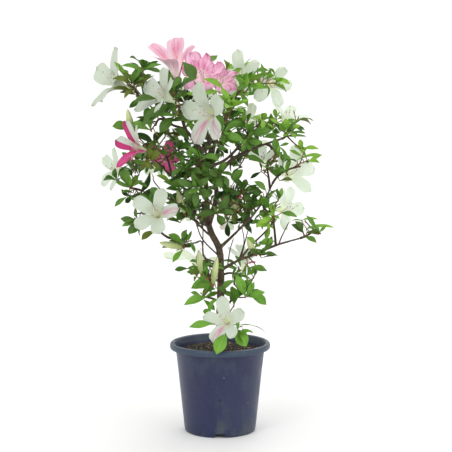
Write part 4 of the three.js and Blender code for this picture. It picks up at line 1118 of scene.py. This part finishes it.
def paintPot():
    look = potPaint
    paint = Paint("potPlastic", {"Specular IOR Level": look["shine"]})
    x, _, z = paint.split(paint.place)
    cloud, dust, specks = (paint.patches(paint.place, *look[name]) for name in ("clouds", "dusts", "specks"))
    shown = paint.mix(paint.times(dust, look["dustShare"]), paint.mix(cloud, *look["body"]), look["dust"])
    lip = paint.between(paint.times(paint.minus(z, look["lipFoot"]), look["lipRise"]), look["lipMost"])
    shown = paint.mix(lip, shown, look["lip"])
    low = paint.between(paint.minus(1.0, paint.math("DIVIDE", z, look["stainTop"])))
    shown = paint.mix(paint.times(low, paint.times(dust, look["stainShare"])), shown, look["stain"])
    shown = paint.mix(paint.times(specks, look["speckShare"]), shown, look["speck"])
    for at, size, fleck in potFlecks:
        away = paint.math("DISTANCE", paint.place, at, kind="VectorMath", output="Value")
        spot = paint.between(paint.times(paint.minus(size, away), look["fleckEdge"]), look["fleckMost"])
        shown = paint.mix(spot, shown, fleck)
    seam = paint.minus(1.0, paint.math("DIVIDE", paint.math("ABSOLUTE", x), look["seamHalf"]))
    shown = paint.mix(paint.times(paint.between(seam), look["seamShare"]), shown, look["seam"])
    paint.bump(cloud, *look["bump"])
    rough = paint.plus(look["rough"], paint.times(dust, look["dustRough"]))
    return paint.put({"Base Color": shown, "Roughness": rough})


# Building blocks for things that repeat

class Heap:
    # gathers copies in millimetres, then joins them into one finished mesh
    def __init__(self):
        self.places, self.faces, self.uvs, self.count = [], [], [], 0

    def add(self, places, faces, uvs=None):
        self.places.append(places)
        self.faces += [[i + self.count for i in face] for face in faces]
        if uvs is not None:
            self.uvs.append(uvs)
        self.count += len(places)

    def finish(self, name, material, smooth=True, **given):
        mesh = bpy.data.meshes.new(name)
        mesh.from_pydata((np.concatenate(self.places) * mm).tolist(), [], self.faces)
        mesh.polygons.foreach_set("use_smooth", [smooth] * len(mesh.polygons))
        if self.uvs:
            uvs = np.concatenate(self.uvs).astype(np.float32)
            mesh.uv_layers.new(name="UVMap").data.foreach_set("uv", uvs.ravel())
        mesh.update()
        piece = bpy.data.objects.new(name, mesh)
        bpy.context.scene.collection.objects.link(piece)
        finishPiece(piece, material, **given)


def addTube(heap, points, radii, sides):
    # a round rod through the points, pointed at its far end
    count = len(points)
    side, rings = None, []
    turns = np.arange(sides) * fullTurn / sides
    for k, point in enumerate(points):
        ahead = unit(points[min(k + 1, count - 1)] - points[max(k - 1, 0)])
        side = around(ahead)(0) if side is None else unit(side - ahead * (side @ ahead))
        radius = radii[0] + (radii[1] - radii[0]) * k / (count - 1)
        circle = np.outer(np.cos(turns), side) + np.outer(np.sin(turns), np.cross(ahead, side))
        rings.append(point + radius * circle)
    tip = points[-1] + ahead * radii[1]
    corners = [(i, (i + 1) % sides) for i in range(sides)]
    faces = [[k * sides + i, k * sides + j, (k + 1) * sides + j, (k + 1) * sides + i]
             for k in range(count - 1) for i, j in corners]
    faces += [[(count - 1) * sides + i, (count - 1) * sides + j, count * sides] for i, j in corners]
    heap.add(np.concatenate(rings + [tip[None]]), faces)


def modelBlade(name, look, outline):
    # a flat grid, each row of it narrowed to the outline, with the middle pressed down as a rib
    blade = addShape(name, bpy.ops.mesh.primitive_grid_add, x_subdivisions=look["across"],
                     y_subdivisions=look["along"], size=2)
    for row in sorted({round(vertex.co.y, 4) for vertex in blade.data.vertices}):
        selectVertices(blade, lambda co: abs(co.y - row) < 1e-3)
        bpy.ops.transform.resize(value=(outline((row + 1) / 2), 1, 1), center_override=(0, row, 0))
    selectVertices(blade, lambda co: abs(co.x) < 1e-3)
    bpy.ops.transform.translate(value=(0, 0, -look["groove"]))
    setMode("OBJECT")
    places, faces, uvs = takeShape(blade)
    return places[:, 0], (places[:, 1] + 1) / 2, places[:, 2], faces, uvs


def curl(along, bends):
    # a middle line of unit length whose angle changes evenly from one bend to the other
    fine = np.linspace(0, 1, 41)
    angles = bends[0] + (bends[1] - bends[0]) * fine
    steps, middles = np.diff(fine), (angles[1:] + angles[:-1]) / 2
    ahead, high = (np.concatenate([[0], np.cumsum(way(middles) * steps)]) for way in (np.cos, np.sin))
    return np.interp(along, fine, ahead), np.interp(along, fine, high), np.interp(along, fine, angles)


# Leaves

leafLook = {"across": 4, "along": 9, "widest": 0.56, "groove": 0.06, "fold": (0.1, 0.5), "raise": (0.0, 0.45),
            "droop": (-0.95, 0.15), "looseRaise": 0.8, "looseDroop": 1.1, "twist": (-0.25, 0.25), "wave": 0.03,
            "waves": (5, 9), "start": (0, 6)}


def leafOutline(u):
    # a narrow stalk end, widest past the middle, and a point
    w = leafLook["widest"]
    if u < w:
        return 0.09 + 0.91 * math.sin(math.pi / 2 * (u / w) ** 1.1) ** 1.25
    return max(0.02, math.cos(math.pi / 2 * ((u - w) / (1 - w)) ** 1.2) ** 1.1)


def placeLeaves():
    look = leafLook
    x, u, z, faces, uvs = modelBlade("leafBlade", look, leafOutline)
    vary = np.random.default_rng(seeds["leaves"])
    for kind, jobs in leafJobs.items():
        heap = Heap()
        for job in jobs:
            along, across, length = job["along"], job["across"], job["length"]
            bends = vary.uniform(*look["raise"]), vary.uniform(*look["droop"])
            if job["loose"]:
                bends = bends[0] * look["looseRaise"], bends[1] * look["looseDroop"]
            ahead, high, angle = curl(u, job.get("bends", bends))
            fold = math.tan(vary.uniform(*look["fold"]))
            twist = vary.uniform(*look["twist"]) * u
            ripple = look["wave"] * np.sin(u * vary.uniform(*look["waves"]) + vary.uniform(*look["start"])) * x
            side = x * job["half"]
            rise = (abs(x) * fold + z) * job["half"] + ripple * length
            sideways = side * np.cos(twist) - rise * np.sin(twist)
            rise = side * np.sin(twist) + rise * np.cos(twist)
            a, c = ahead * length - rise * np.sin(angle), high * length + rise * np.cos(angle)
            heap.add(job["root"] + np.outer(a, along) + np.outer(sideways, across)
                     + np.outer(c, unit(np.cross(along, across))), faces, uvs)
        heap.finish(kind + "Leaves", paintLeaf(kind))
    print("leaves:", sum(map(len, leafJobs.values())), "of", len(faces), "faces")


# Blossom

petalLook = {
    "across": 8, "along": 16, "half": 0.6, "wide": 0.3, "broadest": 0.5, "recurve": 20, "groove": 0.025,
    "ruffle": 0.035, "jitter": 0.07, "rim": 0.17, "rimShare": 0.7, "footRadius": 1.3, "footDeep": 0.5,
    "edge": 0.985, "round": 2.3, "reach": (0.95, 1.02), "innerRing": 0.2, "recurves": (0.3, 1.7),
    "widths": (0.92, 1.08), "frills": 19, "frill": 0.1, "arch": 1.25, "archFade": 2.2, "waves": (4, 7),
    "hemWaves": (3, 5), "start": (0, 6), "ribWide": 0.16, "lean": (-0.05, 0.05), "flattest": 0.8,
    "nearPull": 0.52, "flarePull": 0.006, "tipPull": 0.42,
}
petalKinds = {"w": "white", "f": "freckled", "s": "streaked", "b": "blush", "p": "pink", "m": "magenta",
              "r": "ruffled", "h": "halved"}


def petalMiddle(bloom, reach, recurve, u):
    # radius and depth of a petal's middle line, from the tube's foot to the lobe's tip, and its angle
    look, across, openness, flare = petalLook, bloom["across"], bloom["open"], bloom["flare"]
    rim = across * look["rim"]
    long = (across - rim * look["rimShare"]) / max(look["flattest"], math.sin(openness))
    foot = vec(look["footRadius"], -across * look["footDeep"])
    tip = vec(rim * look["rimShare"] + long * math.sin(openness), long * math.cos(openness)) * reach
    span = far(tip - foot)
    start, end = math.radians(flare), openness + math.radians(recurve)
    pull = look["nearPull"] - flare * look["flarePull"]
    near = foot + vec(math.sin(start), math.cos(start)) * span * pull
    past = tip - vec(math.sin(end), math.cos(end)) * span * look["tipPull"]

    def at(u):
        return [a * (1 - u) ** 3 + 3 * b * u * (1 - u) ** 2 + 3 * c * u ** 2 * (1 - u) + d * u ** 3
                for a, b, c, d in zip(foot, near, past, tip)]

    (radius, depth), (nextRadius, nextDepth) = at(u), at(u + 1e-3)
    return radius, depth, np.arctan2(nextRadius - radius, nextDepth - depth)


def petalHalfWidth(radius, across, wide, fused):
    # chords of the funnel until the petals part, then a broad lobe with a round end
    look = petalLook
    parted, top, widest = fused * across, look["broadest"], wide * across
    s = np.clip((radius - parted) / (across * look["edge"] - parted), 0, 1)
    start = parted * look["half"]
    swell = start + (widest - start) * np.sin(np.pi / 2 * np.minimum(s / top, 1))
    ending = widest * np.sqrt(np.maximum(0, 1 - (np.maximum(s - top, 0) / (1 - top)) ** look["round"]))
    return np.where(radius < parted, radius * look["half"], np.where(s < top, swell, ending)), s


def shapePetal(bloom, k, ring, share, u, vary):
    # one petal's places in millimetres
    look, across, facing = petalLook, bloom["across"], bloom["facing"]
    ruffle, reach = bloom.get("ruffle", look["ruffle"]), bloom["reach"][k]
    turned = math.pi / 2 + math.radians(bloom["roll"] + bloom["turns"][k]) + (k + ring / 2) * fullTurn / 5
    out = around(facing)(turned + vary.uniform(-look["jitter"], look["jitter"]))
    reach = (vary.uniform(*look["reach"]) - look["innerRing"] * ring) * reach
    radius, depth, angle = petalMiddle(bloom, reach, look["recurve"] * vary.uniform(*look["recurves"]), u)
    wide = look["wide"] * vary.uniform(*look["widths"]) * bloom["slim"]
    half, s = petalHalfWidth(radius, across * reach, wide, bloom["fused"])
    if "ruffle" in bloom:
        half = half * (1 + look["frill"] * s * np.sin(s * look["frills"] + vary.uniform(*look["start"])))
    side = share * half
    arch = radius - np.sqrt(np.maximum(radius ** 2 - side ** 2, 0))
    hollow = 1 - np.clip(s * look["archFade"], 0, 1.0) * look["arch"]
    wave = ruffle * across * s * share ** 2 * np.sin(
        s * vary.uniform(*look["waves"]) + share * 1.5 + vary.uniform(*look["start"]))
    wave += ruffle * across * s ** 3 * np.sin(
        share * vary.uniform(*look["hemWaves"]) + vary.uniform(*look["start"]))
    wave -= look["groove"] * across * np.exp(-(share / look["ribWide"]) ** 2) * np.clip(s * 3, 0, 1) * 0.5
    side = side + vary.uniform(*look["lean"]) * across * s ** 2
    outward, ahead = radius - arch * hollow - wave * np.cos(angle), depth + wave * np.sin(angle)
    return (bloom["mouth"] + np.outer(outward, out) + np.outer(ahead, facing)
            + np.outer(side, unit(np.cross(facing, out))))


def placePetals():
    share, u, _, faces, uvs = modelBlade("petalBlade", petalLook, lambda u: 1)
    vary = np.random.default_rng(seeds["petals"])
    heaps = {kind: Heap() for kind in petalKinds.values()}
    for bloom in allBlooms:
        for ring in range(2 if "ruffle" in bloom else 1):
            for k, letter in enumerate(bloom["petals"]):
                heaps[petalKinds[letter]].add(shapePetal(bloom, k, ring, share, u, vary), faces, uvs)
    for kind, heap in heaps.items():
        heap.finish(kind + "Petals", paintPetal(kind))
    print("blossoms:", len(allBlooms))


stamenLook = {"count": 5, "reach": (0.28, 0.5), "pistil": 0.72, "thick": (0.42, 0.3), "spread": 0.09,
              "sides": 4, "antherSides": 5,
              "pistilSpread": 0.02, "turns": (-0.3, 0.3), "steps": 7, "foot": 0.4, "apart": 0.7, "sag": 0.1,
              "lift": 0.16, "anther": (0.58, 0.42), "antherWay": (-0.4, 0.5, 1.1)}


def placeStamens():
    look, filaments, anthers = stamenLook, Heap(), Heap()
    vary = np.random.default_rng(seeds["stamens"])
    for bloom in allBlooms:
        facing, across = bloom["facing"], bloom["across"]
        upward = up - facing * facing[2]
        for k in range(look["count"] + 1):
            # the first of them is the pistil
            out = around(facing)(k * goldenTurn + vary.uniform(*look["turns"]))
            length = across * (look["pistil"] if k == 0 else vary.uniform(*look["reach"]))
            spread = look["pistilSpread"] if k == 0 else look["spread"]
            foot = across * look["foot"]
            points = [bloom["mouth"] + facing * ((length + foot) * u - foot)
                      + out * (look["apart"] + across * spread * u ** 1.5)
                      + upward * across * (look["lift"] * u ** 3 - look["sag"] * math.sin(u * 3.1))
                      for u in (step / look["steps"] for step in range(look["steps"] + 1))]
            addTube(filaments, points, look["thick"], look["sides"])
            ahead = unit(points[-1] - points[-2])
            addTube(anthers, [points[-1] + ahead * way for way in look["antherWay"]], look["anther"],
                    look["antherSides"])
    filaments.finish("filaments", paintMottled("filamentPaint"))
    anthers.finish("anthers", paintMottled("antherPaint"))


# Twigs, stalks and buds

twigLook = {"steps": 8, "sides": 7, "stalkSides": 6, "cupSides": 8, "stalk": (0.9, 0.8), "stalkDrop": 5,
            "cup": (1.7, 1.5), "cupWay": (-1.5, 0, 3.4), "scale": (1.7, 0.9), "tip": (1.5, 0.5),
            "tipWay": (-2.4, 1.6, 3.8)}


def bowed(points, steps):
    return [curvePoint(points, k / steps) for k in range(steps + 1)]


def placeTwigs():
    look = twigLook
    for kind, jobs in twigJobs.items():
        heap = Heap()
        for points, radii in jobs:
            addTube(heap, bowed(points, look["steps"]), radii, look["sides"])
        heap.finish(kind + "Twigs", paintMottled(kind + "TwigPaint"))
    stalks, scales = Heap(), Heap()
    for bloom in allBlooms:
        root, foot, facing = bloom["root"], bloom["foot"], bloom["facing"]
        bend = foot - facing * look["stalkDrop"]
        addTube(stalks, bowed([root, bend, foot + facing], look["steps"]), look["stalk"], look["stalkSides"])
        addTube(stalks, [foot + facing * way for way in look["cupWay"]], look["cup"], look["cupSides"])
        addTube(scales, [root, (root + bend) / 2], look["scale"], look["sides"])
    low, middle, high = look["tipWay"]
    for end, axis, size in tipBuds:
        ways = (low * size, -0.6, middle * size, high * size)
        addTube(scales, [end + axis * way for way in ways], (look["tip"][0] * size, look["tip"][1]),
                look["stalkSides"])
    stalks.finish("flowerStalks", paintMottled("stalkTwigPaint"))
    scales.finish("budScales", paintMottled("scaleTwigPaint"))


budLook = {"sides": 15, "rings": 12, "lobes": 5, "furrow": 0.12, "twist": 1.1, "slant": 1.6, "longer": 1.1,
           "fuller": 1.2, "belly": 0.42, "narrowed": 0.35, "stick": (1.1, 0.9), "cap": (0.62, 0.42),
           "capWay": (-2, 1.5, 5.5, 7), "steps": 6, "stickSides": 6, "capSides": 8}


def placeBuds():
    # long furrowed buds: a ball stretched to a spindle, then wound a little
    look = budLook
    ball = addShape("budBall", bpy.ops.mesh.primitive_uv_sphere_add, segments=look["sides"],
                    ring_count=look["rings"], radius=1)
    editAll(ball)
    bpy.ops.transform.resize(value=(1, 1, 0.5), center_override=(0, 0, 0))
    bpy.ops.transform.translate(value=(0, 0, 0.5))
    setMode("OBJECT")
    base, faces, uvs = takeShape(ball)
    u = base[:, 2]
    turn, flat = np.arctan2(base[:, 1], base[:, 0]) + look["twist"] * u, np.hypot(base[:, 0], base[:, 1])
    past = np.maximum(0, u - look["belly"]) / (1 - look["belly"])
    shape = flat * (1 - look["narrowed"] * past ** 1.2) * (
        1 + look["furrow"] * np.cos(look["lobes"] * (turn - look["slant"] * u)))
    buds, caps, sticks = Heap(), Heap(), Heap()
    for owner, foot, tip, girth in budRows:
        foot, tip = vec(*foot), vec(*tip)
        along, length = unit(tip - foot), far(tip - foot) * look["longer"]
        foot = foot - along * length * (1 - 1 / look["longer"]) / 2
        outAt, radius = around(along), shape * girth * look["fuller"]
        buds.add(foot + np.outer(u * length, along) + np.outer(radius * np.cos(turn), outAt(0))
                 + np.outer(radius * np.sin(turn), outAt(math.pi / 2)), faces, uvs)
        root = stemPoint(masses[owner], growth["budRoot"])
        addTube(sticks, bowed([root, foot - along * 3, foot + along], look["steps"]), look["stick"],
                look["stickSides"])
        addTube(caps, [foot + along * way for way in look["capWay"]], [girth * part for part in look["cap"]],
                look["capSides"])
    buds.finish("flowerBuds", paintBud())
    caps.finish("budCaps", paintMottled("scaleTwigPaint"))
    sticks.finish("budSticks", paintMottled("greenTwigPaint"))
    print("buds:", len(budRows))


# Pot

potLook = {
    "sides": 128, "padRadius": 12, "padHeight": 7.6, "padSides": 48, "inner": (36, 20), "smooth": 32,
    "outer": [(46, 6.5), (46.4, 2.6), (47.2, 0.5), (48.4, 0), (51.2, 0), (52.6, 0.5), (53.3, 1.9), (53.6, 4),
              (56.4, 30), (59.5, 60), (62.6, 90), (65.6, 116.5), (66.4, 120), (66.6, 123), (67.4, 124.2),
              (69.4, 124.5), (72.8, 124.5), (74.3, 125), (74.9, 126.4), (75, 129), (74.7, 131.2), (73.6, 132.8),
              (71.8, 133.5), (69.8, 133.3), (68.3, 132.2), (67.5, 130.1), (64.6, 122), (59.2, 70), (53.6, 16),
              (52.4, 11), (49.8, 9)],
    "notchWide": 17, "notchDeep": 20, "notchHigh": 6, "notchOut": 50, "notchRound": 3, "notchSteps": 4,
    "drainRadius": 5, "drainOut": 30, "drainSides": 32, "drainDeep": 12, "drainMiddle": 8, "openings": 4,
}


def cutWith(piece, cutter, operation="DIFFERENCE"):
    applyModifier(piece, "BOOLEAN", object=cutter, operation=operation, solver="EXACT")
    bpy.data.objects.remove(cutter)


def turnRings(profile, sides, name):
    # a ring of corners drawn up through the profile one ring at a time, in millimetres
    r, z = profile[0]
    piece = addShape(name, bpy.ops.mesh.primitive_circle_add, vertices=sides, radius=r * mm,
                     location=(0, 0, z * mm))
    editAll(piece)
    for (r0, z0), (r1, z1) in zip(profile, profile[1:]):
        bpy.ops.mesh.extrude_region_move(TRANSFORM_OT_translate={"value": (0, 0, (z1 - z0) * mm)})
        bpy.ops.transform.resize(value=(r1 / r0, r1 / r0, 1), center_override=(0, 0, z1 * mm))
    setMode("OBJECT")
    return piece


def closeRing(piece, r, z, inner):
    # draws the open ring at this radius and height in to the axis through smaller rings
    selectVertices(piece, lambda co: abs(co.z - z * mm) < 1e-6 and abs(math.hypot(co.x, co.y) - r * mm) < 1e-6)
    for smaller in inner:
        bpy.ops.mesh.extrude_region_move()
        bpy.ops.transform.resize(value=(smaller / r, smaller / r, 1), center_override=(0, 0, z * mm))
        r = smaller
    bpy.ops.mesh.extrude_region_move()
    bpy.ops.mesh.merge(type="CENTER")
    setMode("OBJECT")


def closeNormals(piece):
    editAll(piece)
    bpy.ops.mesh.normals_make_consistent(inside=False)
    setMode("OBJECT")


def smoothByAngle(piece, degrees):
    pickOnly(piece)
    bpy.ops.object.shade_smooth_by_angle(angle=math.radians(degrees))


def cutNotch(pot, turn):
    # a round-topped notch through the foot ring, cut at the front and turned to its place
    look = potLook
    notch = addShape("notch", bpy.ops.mesh.primitive_cube_add, size=1, location=(0, -look["notchOut"] * mm, 0),
                     scale=(look["notchWide"] * mm, look["notchDeep"] * mm, look["notchHigh"] * 2 * mm))
    selectVertices(notch, lambda co: co.z > 0)
    bpy.ops.mesh.bevel(offset=look["notchRound"] * mm, segments=look["notchSteps"], affect="EDGES")
    bpy.ops.mesh.select_all(action="SELECT")
    bpy.ops.transform.rotate(value=turn, orient_axis="Z", center_override=(0, 0, 0))
    setMode("OBJECT")
    cutWith(pot, notch)


def cutDrain(pot, turn):
    look, out = potLook, potLook["drainOut"]
    drain = addShape("drain", bpy.ops.mesh.primitive_cylinder_add, vertices=look["drainSides"],
                     radius=look["drainRadius"] * mm, depth=look["drainDeep"] * mm, location=(
                         out * math.cos(turn) * mm, out * math.sin(turn) * mm, look["drainMiddle"] * mm))
    cutWith(pot, drain)


def addPot():
    look = potLook
    pot = turnRings(look["outer"], look["sides"], "potShell")
    closeRing(pot, *look["outer"][0], look["inner"])
    closeRing(pot, *look["outer"][-1], look["inner"])
    closeNormals(pot)
    pad = addShape("pad", bpy.ops.mesh.primitive_cone_add, vertices=look["padSides"],
                   radius1=look["padRadius"] * mm, radius2=(look["padRadius"] + 1) * mm,
                   depth=look["padHeight"] * mm, location=(0, 0, look["padHeight"] / 2 * mm))
    cutWith(pot, pad, "UNION")
    for k in range(look["openings"]):
        turn = k * fullTurn / look["openings"]
        cutNotch(pot, turn)
        cutDrain(pot, math.pi / 4 + turn)
    smoothByAngle(pot, look["smooth"])
    finishPiece(pot, paintPot(), "pot", ["pot"])
    print("pot:", len(pot.data.polygons), "faces")


# Soil

soilLook = {
    "sides": 144, "profile": [(48.5, 9.3), (51.5, 12), (57.5, 60), (63.7, 117)], "inner": (30, 15),
    "ringStep": 1.2, "top": 122, "sunk": 3.2, "flatTo": 44, "lumps": 1.5, "lumpSize": 7, "crumbs": 0.7,
    "crumbSize": 1.9, "trunkRound": 16, "smooth": 50, "chipsOut": 62.5, "chipsFrom": 0.03, "uneven": 0.25,
    "flatter": ((0.4, 0.9), (0.22, 0.5)), "lieUp": 0.1, "fewLarge": 2.2,
    "chips": {"darkChip": (620, (1.4, 5.2)), "paleChip": (150, (1.4, 5.6)), "grit": (22, (0.8, 2.0)),
              "greenBit": (26, (1.0, 3.6))},
}


def soilHeight(x, y):
    # the bed's rolling top in millimetres, highest about the trunk and lower at the wall
    look, out = soilLook, math.hypot(x, y)
    edge = max(0, (out - look["flatTo"]) / (look["profile"][-1][0] - look["flatTo"]))
    lump, crumb = (noise.noise(Vector((x / look[size], y / look[size], layer))) * look[name]
                   for name, size, layer in (("lumps", "lumpSize", 0.7), ("crumbs", "crumbSize", 3.1)))
    return look["top"] - look["sunk"] * edge ** 2 + (lump + crumb) * min(1, out / look["trunkRound"])


def addChips():
    # small flat bits that lie nearly level on the bed
    look = soilLook
    chip = addShape("chip", bpy.ops.mesh.primitive_ico_sphere_add, subdivisions=1, radius=1)
    base, faces, _ = takeShape(chip)
    vary = np.random.default_rng(seeds["chips"])
    for kind, (count, (small, large)) in look["chips"].items():
        heap = Heap()
        for _ in range(count):
            out = look["chipsOut"] * math.sqrt(vary.uniform(look["chipsFrom"], 1))
            turn = vary.uniform(0, fullTurn)
            x, y = out * math.cos(turn), out * math.sin(turn)
            size = small + (large - small) * vary.uniform() ** look["fewLarge"]
            axes = np.linalg.qr(vary.normal(size=(3, 3)))[0]
            axes[2] = unit(axes[2] * 0.5 + up)
            axes[0] = unit(np.cross(axes[1], axes[2]))
            axes[1] = np.cross(axes[2], axes[0])
            shape = base * (1 + vary.uniform(-look["uneven"], look["uneven"], size=(len(base), 1)))
            shape = shape * vec(1, *(vary.uniform(*span) for span in look["flatter"])) * (size / 2)
            heap.add(shape @ axes + vec(x, y, soilHeight(x, y) + size * look["lieUp"]), faces)
        heap.finish(kind + "s", paintMottled(kind + "Paint"), smooth=False, slot="soil", nodes=["soil"])


def addSoil():
    look = soilLook
    edge, rim = look["profile"][-1]
    bed = turnRings(look["profile"], look["sides"], "soilBed")
    closeRing(bed, *look["profile"][0], look["inner"])
    closeRing(bed, edge, rim, np.arange(edge - look["ringStep"], 2, -look["ringStep"]))
    for vertex in bed.data.vertices:
        if vertex.co.z > (rim - 0.1) * mm:
            vertex.co.z = soilHeight(vertex.co.x / mm, vertex.co.y / mm) * mm
    closeNormals(bed)
    smoothByAngle(bed, look["smooth"])
    finishPiece(bed, paintMottled("bedPaint"), "soil", ["soil"])
    addChips()
    print("soil and chips")


# Trunk and boughs

barkLook = {"step": 2.4, "round": 3, "voxel": 0.66, "sunk": 3, "collar": 0.55, "collarFade": 7, "smooth": 0.6,
            "smoothings": 4, "clouds": {"knots": (16, 0.75), "grain": (3.2, 0.55)}, "cloudDepth": 3}


def addLimbTube(limb):
    # a path with a radius at each point, turned into a capped tube; the trunk starts a little below the bed
    look, length = barkLook, limb["length"]
    path = addNamed(limb["name"] + "Path", bpy.ops.curve.primitive_bezier_curve_add)
    curve = path.data
    curve.splines.clear()
    curve.dimensions = "3D"
    curve.bevel_depth, curve.bevel_resolution, curve.use_fill_caps = mm, look["round"], True
    count, extra = math.ceil(length / look["step"]), 0 if limb["on"] else 1
    spline = curve.splines.new("POLY")
    spline.points.add(count + extra)
    for k, point in enumerate(spline.points):
        u = max(0, k - extra) / count
        place = curvePoint(limb["points"], u) - up * (look["sunk"] if k < extra else 0)
        collar = look["collar"] * math.exp(-(u * length) / look["collarFade"]) if limb["on"] else 0
        point.co = (*(place * mm), 1)
        point.radius = limbRadius(limb, u) * (1 + collar)
    bpy.ops.object.convert(target="MESH")
    return path


def addWood():
    look = barkLook
    tubes = [addLimbTube(limb) for limb in limbs.values()]
    pickOnly(tubes[0])
    for tube in tubes:
        tube.select_set(True)
    bpy.ops.object.join()
    wood = bpy.context.object
    wood.name = wood.data.name = "barkedWood"
    applyModifier(wood, "REMESH", mode="VOXEL", voxel_size=look["voxel"] * mm, use_smooth_shade=True)
    applyModifier(wood, "SMOOTH", factor=look["smooth"], iterations=look["smoothings"])
    for name, (size, amount) in look["clouds"].items():
        clouds = bpy.data.textures.new(name, "CLOUDS")
        clouds.noise_scale, clouds.noise_depth = size * mm, look["cloudDepth"]
        applyModifier(wood, "DISPLACE", texture=clouds, texture_coords="LOCAL", strength=amount * mm,
                      mid_level=0.5)
    pickOnly(wood)
    bpy.ops.object.shade_smooth()
    finishPiece(wood, paintBark(), "bark", ["trunk", *boughNodes])
    print("bark:", len(wood.data.polygons), "faces")


# The whole plant

addCamera()
addStudio()
addPot()
addSoil()
addWood()
placeTwigs()
placeLeaves()
placePetals()
placeStamens()
placeBuds()
